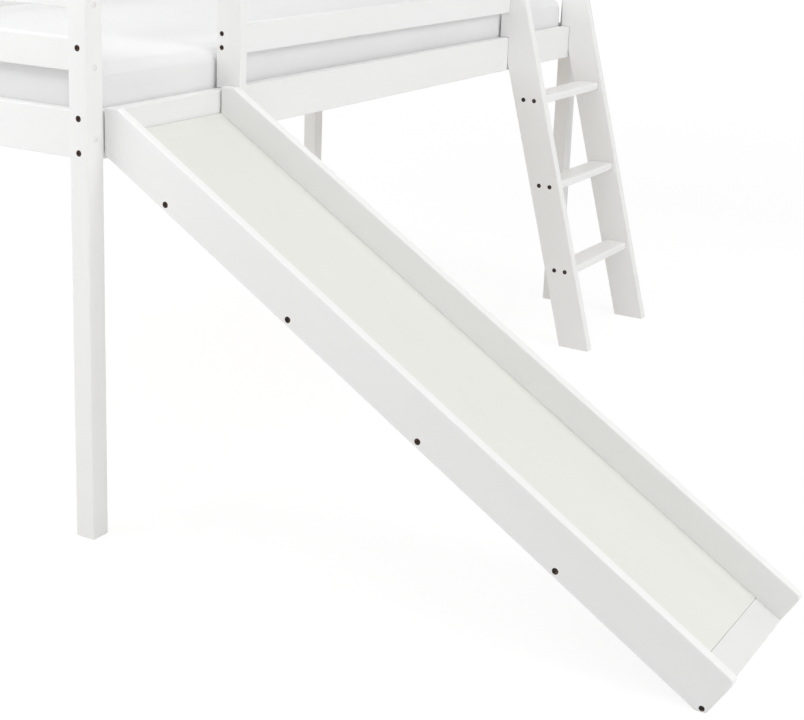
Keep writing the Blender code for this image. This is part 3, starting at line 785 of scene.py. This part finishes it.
@dataclass
class Fasteners:
    """One kind of fastener: where each stands and which way it faces."""

    places: list[Triple] = field(default_factory=list)
    facings: list[Facing] = field(default_factory=list)

    def add(self, place: Triple, facing: Facing) -> None:
        """Add one, with its place on the face that it is set in."""
        self.places.append(place)
        self.facings.append(facing)

    def column(self, foot: Array, rises: Floats, facing: Facing) -> None:
        """Add one at each rise over the foot."""
        for rise in rises:
            self.add((foot[0], foot[1], foot[2] + rise), facing)

    def spread(self, surface: Surface) -> Surface:
        """Set the surface at every place."""
        frames = np.array([facing.value for facing in self.facings], float)
        return surface.repeated(np.array(self.places, float), frames)


def fasten_guards(fasteners: Fasteners, holder: str, facing: Facing) -> None:
    """Set fasteners through what holds the front guard boards' ends.

    Args:
        fasteners: The kind that is set.
        holder: The node that they go through.
        facing: The way that its outer face looks.
    """
    for level in LEVELS:
        foot = face_foot(f"front_{level}_guard", facing)
        foot[0] = face_foot(holder, facing)[0]
        fasteners.column(foot, GUARD_BOLT_RISES, facing)


@dataclass
class Hardware:
    """Bolts, washers, caps, barrel nuts and screws, gathered from all the parts."""

    dark_steel: Material
    yellow_zinc: Material
    cap_plastic: Material
    head_radius: float = 0.0048
    head_sink: float = 0.0003
    head_height: float = 0.0030
    head_chamfer: float = 0.0005
    # The dark flange reaches past the seat's rim: painted shade of the hollow seat round the head.
    flange_and_shade_radius: float = 0.0057
    flange_lift: float = 0.0001
    socket_half: float = 0.0020
    socket_depth: float = 0.0021
    washer_radius: float = 0.0049
    washer_height: float = 0.0016
    seat_depth: float = 0.0040
    cap_radius: float = 0.0047
    cap_rim: float = -0.0006
    cap_steps: int = 5
    nut_radius: float = 0.0047
    nut_sink: float = 0.0012
    slot_half: float = 0.0006
    slot_depth: float = 0.0012
    slot_rings: int = 12
    inner_ring_share: float = 0.08
    screw_radius: float = 0.0036
    screw_proud: float = 0.0002
    sides: int = 24
    bolts: Fasteners = field(default_factory=Fasteners)
    sunk_bolts: Fasteners = field(default_factory=Fasteners)
    caps: Fasteners = field(default_factory=Fasteners)
    nuts: Fasteners = field(default_factory=Fasteners)
    screws: Fasteners = field(default_factory=Fasteners)

    def bolt_head(self, flanged: bool) -> Surface:
        """A chamfered head with a hexagonal socket, flanged or sunk in its seat.

        The rings climb the outside, step out to the flange where there is one, cross
        the top, change to a hexagon at the socket's mouth and go down its walls.

        Args:
            flanged: Whether a thin dark flange covers the seat's rim and the wood round it, as painted
                shade of the hollow seat.

        Returns:
            One head, with the face of the wood at height nought.
        """
        top = self.flange_lift if flanged else -self.head_sink
        step = self.flange_lift / 3 if flanged else top - self.head_chamfer
        rim = self.flange_and_shade_radius if flanged else self.head_radius
        half = self.socket_half
        slope = self.head_chamfer / 2
        climb = [(self.head_radius, top - self.head_height), (self.head_radius, step)]
        if flanged:
            climb.append((rim, step))
        socket = [(half + slope, top), (half, top - slope), (half, top - self.socket_depth)]
        radii, heights = np.array([*climb, (rim - self.head_chamfer, top), *socket]).T
        hexes = np.arange(len(radii)) >= len(climb) + 1
        return turned_surface(radii, heights, self.sides, hexes.astype(float))

    def washer(self) -> Surface:
        """The washer that shows round a head, at the bottom of its seat.

        Its section is a rectangle carried round +Z, whose last ring joins the first.

        Returns:
            One washer, with the face of the wood at height nought.
        """
        low = -self.seat_depth
        high = low + self.washer_height
        inner = self.head_radius - 2 * self.head_chamfer
        radii = np.array([inner, self.washer_radius, self.washer_radius, inner])
        rings = turned_rings(radii, np.array([low, low, high, high]), self.sides)
        quads = grid_quads(len(radii) + 1, self.sides) % (len(radii) * self.sides)
        return Surface(rings.reshape(-1, 3), quads)

    def cap(self) -> Surface:
        """A domed cap: heights follow a flat quarter ellipse.

        Returns:
            One cap, with the face of the wood at height nought.
        """
        turn = np.linspace(0.0, pi / 2, self.cap_steps, endpoint=False)
        radii = np.concatenate([[self.cap_radius], self.cap_radius * np.cos(turn)])
        heights = np.concatenate([[-self.seat_depth / 2], self.cap_rim * (1 - np.sin(turn))])
        return turned_surface(radii, heights, self.sides)

    def slotted(self, radius: float, top: float, depth: float) -> Surface:
        """A disc with a slot across it.

        Points nearer the middle line than the slot's half width drop by its depth.

        Args:
            radius: The disc's radius.
            top: The height of its face.
            depth: How deep the slot is.

        Returns:
            The closed disc.
        """
        shares = np.linspace(1.0, self.inner_ring_share, self.slot_rings)
        radii = np.concatenate([[radius], radius * shares])
        heights = np.concatenate([[top - 2 * depth], np.full(self.slot_rings, top)])
        disc = turned_surface(radii, heights, self.sides)
        points = disc.points.copy()
        in_slot = (np.abs(points[:, 1]) < self.slot_half) & (points[:, 2] > top - depth)
        points[in_slot, 2] -= depth
        return Surface(points, disc.quads, disc.triangles)

    def build(self) -> None:
        """Make one piece of each kind of fastener."""
        nut = self.slotted(self.nut_radius, -self.nut_sink, self.slot_depth)
        screw = self.slotted(self.screw_radius, self.screw_proud, self.slot_depth / 2)
        for fasteners, surface, name, material in (
            (self.bolts, self.bolt_head(True), "bolt_heads", self.dark_steel),
            (self.sunk_bolts, self.bolt_head(False), "sunk_bolt_heads", self.dark_steel),
            (self.sunk_bolts, self.washer(), "bolt_washers", self.yellow_zinc),
            (self.caps, self.cap(), "bolt_caps", self.cap_plastic),
            (self.nuts, nut, "barrel_nuts", self.yellow_zinc),
            (self.screws, screw, "slat_screws", self.yellow_zinc),
        ):
            piece = fasteners.spread(surface).piece(name, material, fasteners is self.caps)
            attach(piece, FRAME_BODY)
            report(name, FRAME_BODY)


def report(name: str, body: str) -> None:
    """Log that a piece is done and what it rides on."""
    LOG.info("%s is done and rides on %s", name, body)


def dress(names: list[str], material: Material) -> None:
    """Give solids of the frame their finish.

    Args:
        names: The nodes' names.
        material: The finish.
    """
    for name in names:
        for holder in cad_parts[name].material_slots:
            holder.material = material
        report(name, FRAME_BODY)


@dataclass
class BedFrame:
    """Posts, rails and guard boards, with the bolts that join them."""

    paint: dict[Grain, Material]
    hardware: Hardware
    side_bolts: Floats = (0.719, 0.779, 0.900, 1.006)
    end_bolts: Floats = (0.743, 0.8665, 0.9725)
    back_rises: Floats = (0.048,)
    rail_rises: Floats = (0.014, 0.074)
    end_rail_rises: Floats = (0.035,)
    end_guard_rises: Floats = (0.0075,)
    nut_from_end: float = 0.034

    def dress(self) -> None:
        """Paint the boards, each with its grain along it."""
        upright = [f"{side}_{end}_post" for side in SIDES for end in ENDS]
        long_way = [f"{side}_rail" for side in SIDES]
        long_way += [f"{side}_{level}_guard" for side in SIDES for level in LEVELS]
        across = [f"{end}_end_rail" for end in ENDS]
        across += [f"{end}_end_{level}_guard" for end in ENDS for level in LEVELS]
        dress([*upright, "guard_post"], self.paint[Grain.UPRIGHT])
        dress(long_way, self.paint[Grain.LENGTH])
        dress(across, self.paint[Grain.DEPTH])

    def fasten(self) -> None:
        """Set bolts in the ends of the posts, caps in their sides, nuts in the boards."""
        for end in ENDS:
            for side in SIDES:
                post = f"{side}_{end}_post"
                outward, ahead = OUTWARD[end], OUTWARD[side]
                self.hardware.bolts.column(face_foot(post, outward), self.side_bolts, outward)
                self.hardware.caps.column(face_foot(post, ahead), self.end_bolts, ahead)
            self._nuts(f"{end}_end_rail", INWARD[end], self.end_rail_rises)
            for level in LEVELS:
                self._nuts(f"{end}_end_{level}_guard", INWARD[end], self.end_guard_rises)
        for side, guard_rises in zip(SIDES, (GUARD_BOLT_RISES, self.back_rises)):
            self._nuts(f"{side}_rail", INWARD[side], self.rail_rises)
            for level in LEVELS:
                self._nuts(f"{side}_{level}_guard", INWARD[side], guard_rises)
        fasten_guards(self.hardware.sunk_bolts, "guard_post", Facing.LEFT)

    def _nuts(self, name: str, inward: Facing, rises: Floats) -> None:
        """Set nuts in a board's inner face, near both ends.

        Args:
            name: The board's node.
            inward: The way that its inner face looks.
            rises: Their heights over its lower edge.
        """
        low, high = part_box(name)
        run = 0 if inward in (Facing.FRONT, Facing.BACK) else 1
        foot = face_foot(name, inward)
        for place in (low[run] + self.nut_from_end, high[run] - self.nut_from_end):
            foot[run] = place
            self.hardware.nuts.column(foot, rises, inward)


@dataclass
class SlatBase:
    """Ledgers and slats of bare pine, with a screw at each end of a slat."""

    along: Material
    across: Material
    hardware: Hardware
    count: int = 14
    screw_inset: float = 0.011

    def names(self) -> list[str]:
        """The slats' node names, from the left."""
        return [f"slat_{index:02d}" for index in range(1, self.count + 1)]

    def dress(self) -> None:
        """Finish the ledgers along the bed and the slats across it."""
        dress([f"{side}_ledger" for side in SIDES], self.along)
        dress(self.names(), self.across)

    def fasten(self) -> None:
        """Set a screw at each end of each slat."""
        for name in self.names():
            low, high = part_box(name)
            for y in (low.y + self.screw_inset, high.y - self.screw_inset):
                self.hardware.screws.add(((low.x + high.x) / 2, y, high.z), Facing.UP)


@dataclass
class Slide:
    """The sliding board between its two side boards."""

    paint: dict[Grain, Material]
    lacquer: Material
    foot_shade_paint: Material
    hardware: Hardware
    angle: float = radians(SLIDE_SLOPE)
    heel_height: float = 0.7124
    bar_distances: Floats = (0.1495, 0.4508, 0.7521, 1.0534)
    bolt_rise: float = 0.0112
    last_bolt_from_end: float = 0.0100
    last_bolt_rise: float = 0.0115
    floor_flat: float = 0.0187

    def dress(self) -> None:
        """Paint the side boards along the slope and the bars across it."""
        bars = [f"slide_cross_bar_{index + 1}" for index in range(len(self.bar_distances))]
        dress([f"slide_{end}_board" for end in ENDS], self.paint[Grain.SLIDE])
        dress([*bars, "slide_head_bar"], self.paint[Grain.LENGTH])
        # The foot board's paint is darkened as painted shade.
        dress(["slide_foot_board"], self.foot_shade_paint)
        dress(["slide_panel"], self.lacquer)

    def fasten(self) -> None:
        """Set bolts along the lower edge of both side boards."""
        length = self.heel_height / sin(self.angle) + self.floor_flat * cos(self.angle)
        spots = [(distance, self.bolt_rise, self.hardware.bolts) for distance in self.bar_distances]
        spots.append((length - self.last_bolt_from_end, self.last_bolt_rise, self.hardware.sunk_bolts))
        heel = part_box("front_left_post")[0].y
        for end in ENDS:
            x = face_foot(f"slide_{end}_board", OUTWARD[end])[0]
            for distance, rise, fasteners in spots:
                y = heel - distance * cos(self.angle) - rise * sin(self.angle)
                z = self.heel_height - distance * sin(self.angle) + rise * cos(self.angle)
                fasteners.add((x, y, z), OUTWARD[end])


@dataclass
class Ladder:
    """Two notched stringers with three treads housed between them."""

    paint: dict[Grain, Material]
    hardware: Hardware
    tread_count: int = 3
    bolt_spread: float = 0.030

    def names(self) -> list[str]:
        """The treads' node names, from the floor."""
        return [f"tread_{index}" for index in range(1, self.tread_count + 1)]

    def dress(self) -> None:
        """Paint the stringers along their slant and the treads across."""
        dress(["near_stringer", "far_stringer"], self.paint[Grain.STRINGER])
        dress(self.names(), self.paint[Grain.LENGTH])

    def fasten(self) -> None:
        """Set two bolts at each end of each tread, and those of the guard boards."""
        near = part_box("near_stringer")[0].x
        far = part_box("far_stringer")[1].x
        for name in self.names():
            low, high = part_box(name)
            for step in (-self.bolt_spread / 2, self.bolt_spread / 2):
                spot = ((low.y + high.y) / 2 + step, (low.z + high.z) / 2)
                self.hardware.bolts.add((near, *spot), Facing.LEFT)
                self.hardware.bolts.add((far, *spot), Facing.RIGHT)
        fasten_guards(self.hardware.bolts, "near_stringer", Facing.RIGHT)


@dataclass
class Mattress:
    """A padded mattress in a white cover, in the space of its plain solid."""

    node: str = "mattress"
    start_inset: float = 0.003
    corner: float = 0.052
    edge: float = 0.017
    draw_in: float = 0.003
    crown: float = 0.009
    voxel: float = 0.013
    pressure: float = 4.0
    quality: int = 4
    frames: int = 20
    side_cap: float = 0.0015
    top_cap: float = 0.007
    sag: float = 0.0012
    long_waves: float = 17.0
    cross_waves: float = 9.0
    wave_bend: float = 2.0
    bend_waves: float = 5.0
    wave_slant: float = 4.0
    seam_drop: float = 0.022
    corner_steps: int = 8
    side_steps: int = 24
    edge_steps: int = 6
    top_shares: Floats = (0.96, 0.90, 0.82, 0.72, 0.60, 0.47, 0.33, 0.18, 0.06)

    def outline(self, half_x: float, half_y: float) -> Array:
        """A rounded rectangle with drawn-in sides, as points round the middle.

        Each quarter is a quarter circle and then a straight side whose points move
        inwards by the sine of the way along it.

        Args:
            half_x: Half the length.
            half_y: Half the width.

        Returns:
            Points, shape (4*(corner_steps+side_steps), 2), anticlockwise.
        """
        quarters = []
        turn = np.linspace(-pi / 2, 0.0, self.corner_steps, endpoint=False)
        way = np.linspace(0.0, 1.0, self.side_steps, endpoint=False)
        for index, (u, v) in enumerate([(half_x, half_y), (half_y, half_x)] * 2):
            bend = self.corner * np.stack([np.cos(turn) - 1, np.sin(turn) + 1], -1)
            arc = bend + np.array([u, -v])
            side = np.stack([u - self.draw_in * np.sin(pi * way), (v - self.corner) * (2 * way - 1)], -1)
            angle = index * pi / 2
            spin = np.array([[cos(angle), sin(angle)], [-sin(angle), cos(angle)]])
            quarters.append(np.concatenate([arc, side]) @ spin)
        return np.concatenate(quarters)

    def shell(self) -> Surface:
        """The plain shape: sides, rounded edges and a crowned top.

        The rim follows a quarter ellipse at the foot and at the top, and the crown
        is a parabola of the way in from the rim.

        Returns:
            The closed surface in its place.
        """
        low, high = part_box(self.node)
        middle = np.array([(low.x + high.x) / 2, (low.y + high.y) / 2])
        half_x = (high.x - low.x) / 2 - self.start_inset
        half_y = (high.y - low.y) / 2 - self.start_inset
        foot = low.z + self.start_inset / 2
        head = high.z - self.crown - self.start_inset / 2
        turn = np.linspace(0.0, pi / 2, self.edge_steps)
        rise = self.edge * (1 - np.cos(turn))
        inset = self.edge * (1 - np.sin(turn))
        insets = np.concatenate([inset, inset[::-1]])
        shares = 1 - insets[:, None] / np.array([half_x, half_y])[None, :]
        sides = self.outline(half_x, half_y)[None] * shares[:, None, :]
        inner = np.array(self.top_shares)
        rows = np.concatenate([sides, sides[-1][None] * inner[:, None, None]])
        crown = head + self.crown * (1 - inner**2)
        heights = np.concatenate([foot + rise, (head - rise)[::-1], crown])
        flat = np.broadcast_to(heights[:, None, None], (*rows.shape[:2], 1))
        rings = np.concatenate([rows + middle, flat], -1)
        poles = np.array([[*middle, foot], [*middle, head + self.crown]])
        return capped(rings, *poles)

    def remeshed(self, piece: Piece) -> None:
        """Give the piece even faces of about one voxel.

        Args:
            piece: The plain shell.
        """
        remesh = piece.modifiers.new("even_faces", "REMESH")
        remesh.mode = "VOXEL"
        remesh.voxel_size = self.voxel
        self.keep_evaluated(piece)

    @staticmethod
    def keep_evaluated(piece: Piece) -> None:
        """Swap the piece's mesh for what its modifiers make of it.

        Args:
            piece: A piece with modifiers.
        """
        graph = bpy.context.evaluated_depsgraph_get()
        mesh = bpy.data.meshes.new_from_object(piece.evaluated_get(graph))
        piece.modifiers.clear()
        piece.data = mesh

    def swell(self, piece: Piece) -> None:
        """Blow the cover up as cloth, then hold it inside its space.

        Args:
            piece: The evenly meshed shell.
        """
        before = self.points(piece)
        cloth = piece.modifiers.new("cover", "CLOTH")
        cloth.settings.quality = self.quality
        cloth.settings.use_pressure = True
        cloth.settings.uniform_pressure_force = self.pressure
        cloth.settings.effector_weights.gravity = 0.0
        cloth.collision_settings.use_collision = False
        cloth.point_cache.frame_start = 1
        cloth.point_cache.frame_end = self.frames
        scene = bpy.context.scene
        for number in range(1, self.frames + 1):
            scene.frame_set(number)
        self.keep_evaluated(piece)
        scene.frame_set(1)
        limit = np.array([self.side_cap, self.side_cap, self.top_cap])
        moved = self.points(piece) - before
        self.set_points(piece, before + np.clip(moved, -limit, limit))

    def settle(self, piece: Piece) -> None:
        """Flatten the foot, add slow dips to the top and fit the cover to its space.

        The dips are the product of two sines along the bed and across it, faded
        in over the upper half. Each axis is then stretched so that the cover spans
        the plain solid's box.

        Args:
            piece: The swollen cover.
        """
        low, high = (np.array(corner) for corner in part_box(self.node))
        points = self.points(piece)
        points[:, 2] = np.maximum(points[:, 2], low[2] + self.start_inset / 2)
        way = (points - low) / (high - low)
        bend = self.wave_bend * np.sin(way[:, 1] * self.bend_waves)
        waves = np.sin(way[:, 0] * self.long_waves + bend)
        dips = waves * np.sin(way[:, 1] * self.cross_waves + way[:, 0] * self.wave_slant)
        fade = np.clip((way[:, 2] - 0.5) * 2, 0.0, 1.0)
        points[:, 2] += self.sag * (dips - 1) * fade
        least, most = points.min(axis=0), points.max(axis=0)
        self.set_points(piece, low + (points - least) * (high - low) / (most - least))

    @staticmethod
    def points(piece: Piece) -> Array:
        """The piece's vertices.

        Args:
            piece: Any mesh piece.

        Returns:
            Points, shape (n, 3).
        """
        flat = np.empty(len(piece.data.vertices) * 3)
        piece.data.vertices.foreach_get("co", flat)
        return flat.reshape(-1, 3)

    @staticmethod
    def set_points(piece: Piece, points: Array) -> None:
        """Put the vertices back."""
        piece.data.vertices.foreach_set("co", points.ravel())
        piece.data.update()

    def build(self) -> None:
        """Make the padded mattress."""
        low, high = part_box(self.node)
        seams = (low.z + self.seam_drop, high.z - self.crown - self.seam_drop)
        cotton = WovenCotton("mattress_cotton", seams=seams).material()
        piece = self.shell().piece("padded_mattress", cotton)
        self.remeshed(piece)
        self.swell(piece)
        self.settle(piece)
        piece.data.polygons.foreach_set("use_smooth", np.full(len(piece.data.polygons), True))
        soften = piece.modifiers.new("soften", "SUBSURF")
        soften.levels = 1
        soften.render_levels = 1
        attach(piece, MATTRESS_BODY)
        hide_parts(self.node)
        report(piece.name, MATTRESS_BODY)


def stand(name: str, data: bpy.types.ID, axes: tuple[Array, ...], place: Array) -> Piece:
    """Stand a lamp or a camera in the scene.

    Args:
        name: The object's name.
        data: The lamp's or the camera's data.
        axes: Its right, up and back axes.
        place: Where it stands.

    Returns:
        The object.
    """
    made = bpy.data.objects.new(name, data)
    bpy.context.scene.collection.objects.link(made)
    matrix = np.eye(4)
    matrix[:3] = np.stack([*axes, place], -1)
    made.matrix_world = Matrix(matrix.tolist())
    return made


@dataclass(frozen=True)
class Lamp:
    """A square soft box that looks at a point."""

    name: str
    place: Triple
    power: float
    aim: Triple = (0.0, 0.0, 0.5)
    size: float = 2.8

    def build(self) -> None:
        """Hang the lamp, out of the camera's sight."""
        light = bpy.data.lights.new(self.name, "AREA")
        light.size = self.size
        light.energy = self.power
        place = np.array(self.place)
        way = place - np.array(self.aim)
        back = way / np.linalg.norm(way)
        across = np.cross([0.0, 0.0, 1.0], back)
        across /= np.linalg.norm(across)
        lamp = stand(self.name, light, (across, np.cross(back, across), back), place)
        lamp.visible_camera = False


@dataclass
class Studio:
    """Floor, daylight, lamps and the camera."""

    floor_half: float = 60.0
    floor_cells: int = 8
    floor_drop: float = 0.0005
    floor_colour: Colour = (0.93, 0.93, 0.93)
    floor_mottle: Colour = (0.9207, 0.9207, 0.9207)
    mottle_lumps: float = 1.2
    floor_glow: float = 0.86
    floor_shown: float = 0.17
    floor_reach: Span = (2.5, 9.0)
    sky: float = 0.35
    lamps: tuple[Lamp, ...] = (
        Lamp("front_box", (-0.8, -5.0, 3.2), 122.0),
        Lamp("back_box", (0.5, 4.0, 2.4), 56.0, (-0.5, 0.0, 0.5), 2.6),
        Lamp("top_box", (0.2, 0.4, 4.6), 35.0),
        Lamp("high_box", (-3.0, -0.5, 4.2), 33.0),
        Lamp("near_box", (-3.5, -3.0, 3.0), 7.0),
        Lamp("right_box", (3.5, -3.5, 2.5), 20.0),
        Lamp("left_box", (-2.3, 1.4, 1.75), 22.0, (-0.55, 0.15, 0.6), 1.6),
    )
    offset: Triple = (-2.0921247, -1.8103398, 1.2513117)
    yaw: float = radians(29.439317)
    pitch: float = radians(15.604791)
    roll: float = radians(2.247652)
    focal: float = 1604.0135
    image: tuple[int, int] = (804, 720)
    axis_row: float = 293.60727
    sensor: float = 36.0
    clip: Span = (0.05, 200.0)

    def floor_paper(self) -> Material:
        """The floor's material, which keeps a faint shadow for the camera.

        Its own glow rises with the distance from the middle of the floor until it is
        as white as the sky behind it. It is clear from underneath, so that the
        object's underside can be seen.

        Returns:
            The pale paper.
        """
        material = bpy.data.materials.new("floor_paper")
        material.use_nodes = True
        w = Wiring(material.node_tree)
        w.tree.nodes.clear()
        coordinates = w.node("ShaderNodeTexCoord").outputs["Object"]
        mottle = w.noise(coordinates, self.mottle_lumps, detail=3.0)
        tone = w.blend(mottle, self.floor_colour, self.floor_mottle)
        plain = w.node("ShaderNodeBsdfDiffuse", {"Color": tone}).outputs[0]
        shown = w.node("ShaderNodeBsdfDiffuse", {"Color": (self.floor_shown,) * 3}).outputs[0]
        away = w.vector_math("LENGTH", coordinates)["Value"]
        whiter = w.span(away, self.floor_reach, (self.floor_glow, 1.0))
        glow = w.node("ShaderNodeEmission", {"Strength": whiter}).outputs[0]
        together = w.node("ShaderNodeAddShader", {0: shown, 1: glow}).outputs[0]
        under = w.node("ShaderNodeNewGeometry").outputs["Backfacing"]
        clear = w.node("ShaderNodeBsdfTransparent").outputs[0]
        sided = w.mix(under, w.mix(self.seen(w), plain, together), clear)
        w.node("ShaderNodeOutputMaterial", {"Surface": sided})
        return material

    def floor(self) -> None:
        """Lay the floor as a square of even cells."""
        points_along = self.floor_cells + 1
        steps = np.linspace(-self.floor_half, self.floor_half, points_along)
        x, y = np.meshgrid(steps, steps)
        points = np.stack([x, y, np.full_like(x, -self.floor_drop)], -1).reshape(-1, 3)
        cells = np.arange(self.floor_cells)
        start = (cells[:, None] * points_along + cells[None, :]).reshape(-1, 1)
        quads = start + np.array([0, 1, points_along + 1, points_along])[None, :]
        floor = Surface(points, quads).piece("studio_floor", self.floor_paper(), False)

    @staticmethod
    def seen(w: Wiring) -> Socket:
        """One for rays from the camera and for those off gloss or through glass.

        Args:
            w: The wiring of the floor or of the sky.

        Returns:
            The mask.
        """
        path = w.node("ShaderNodeLightPath").outputs
        gloss = w.math("MAXIMUM", path["Is Glossy Ray"], path["Is Transmission Ray"])
        return w.math("MAXIMUM", path["Is Camera Ray"], gloss)

    def daylight(self) -> None:
        """A soft even sky that looks plain white."""
        world = bpy.data.worlds.new("studio_sky")
        world.use_nodes = True
        bpy.context.scene.world = world
        w = Wiring(world.node_tree)
        w.tree.nodes.clear()
        light, white = (
            w.node("ShaderNodeBackground", {"Color": (1.0, 1.0, 1.0), "Strength": strength}).outputs[0]
            for strength in (self.sky, 1.0)
        )
        w.node("ShaderNodeOutputWorld", {"Surface": w.mix(self.seen(w), light, white)})

    def camera(self) -> None:
        """Stand the camera where the photograph's straight edges put it.

        Forward comes from yaw and pitch, right is level, and both right and up turn
        by the roll. The lens is the focal length in pixels over the image's width.
        """
        ahead = np.array([cos(self.yaw), sin(self.yaw), 0.0])
        forward = ahead * cos(self.pitch) - np.array([0.0, 0.0, sin(self.pitch)])
        level = np.array([sin(self.yaw), -cos(self.yaw), 0.0])
        over = np.cross(level, forward)
        right = level * cos(self.roll) + over * sin(self.roll)
        above = -level * sin(self.roll) + over * cos(self.roll)
        corner = np.array(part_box("front_left_post")[0]) * np.array([1.0, 1.0, 0.0])
        lens = bpy.data.cameras.new("photo_lens")
        lens.sensor_fit = "HORIZONTAL"
        lens.sensor_width = self.sensor
        lens.lens = self.focal / self.image[0] * self.sensor
        lens.shift_y = (self.axis_row - self.image[1] / 2) / self.image[0]
        lens.clip_start, lens.clip_end = self.clip
        axes = (right, above, -forward)
        bpy.context.scene.camera = stand("photo_camera", lens, axes, corner + np.array(self.offset))

    def build(self) -> None:
        """Set the studio up."""
        self.floor()
        self.daylight()
        for lamp in self.lamps:
            lamp.build()
        self.camera()
        bpy.context.scene.view_settings.view_transform = "Standard"


def main() -> None:
    """Build every part in order."""
    logging.basicConfig(level=logging.INFO, format="%(message)s")
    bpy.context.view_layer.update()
    SharedEffects().build()
    paint = {
        grain: PaintedPine(f"white_paint_{grain.name.lower()}", grain=grain).material()
        for grain in Grain
    }
    lacquer = SlideLacquer("slide_lacquer").material()
    foot_shade_paint = FootPaintWithPaintedShade("foot_paint_painted_shade").material()
    hardware = Hardware(
        PlatedSteel("dark_steel").material(),
        YellowZinc("yellow_zinc").material(),
        MouldedCap("cap_plastic").material(),
    )
    pine_along = BarePine("pine_along", grain=Grain.LENGTH).material()
    pine_across = BarePine("pine_across", grain=Grain.DEPTH).material()
    for part in (
        BedFrame(paint, hardware),
        SlatBase(pine_along, pine_across, hardware),
        Slide(paint, lacquer, foot_shade_paint, hardware),
        Ladder(paint, hardware),
    ):
        part.dress()
        part.fasten()
    hardware.build()
    Mattress().build()
    Studio().build()


if __name__ == "__main__":
    main()
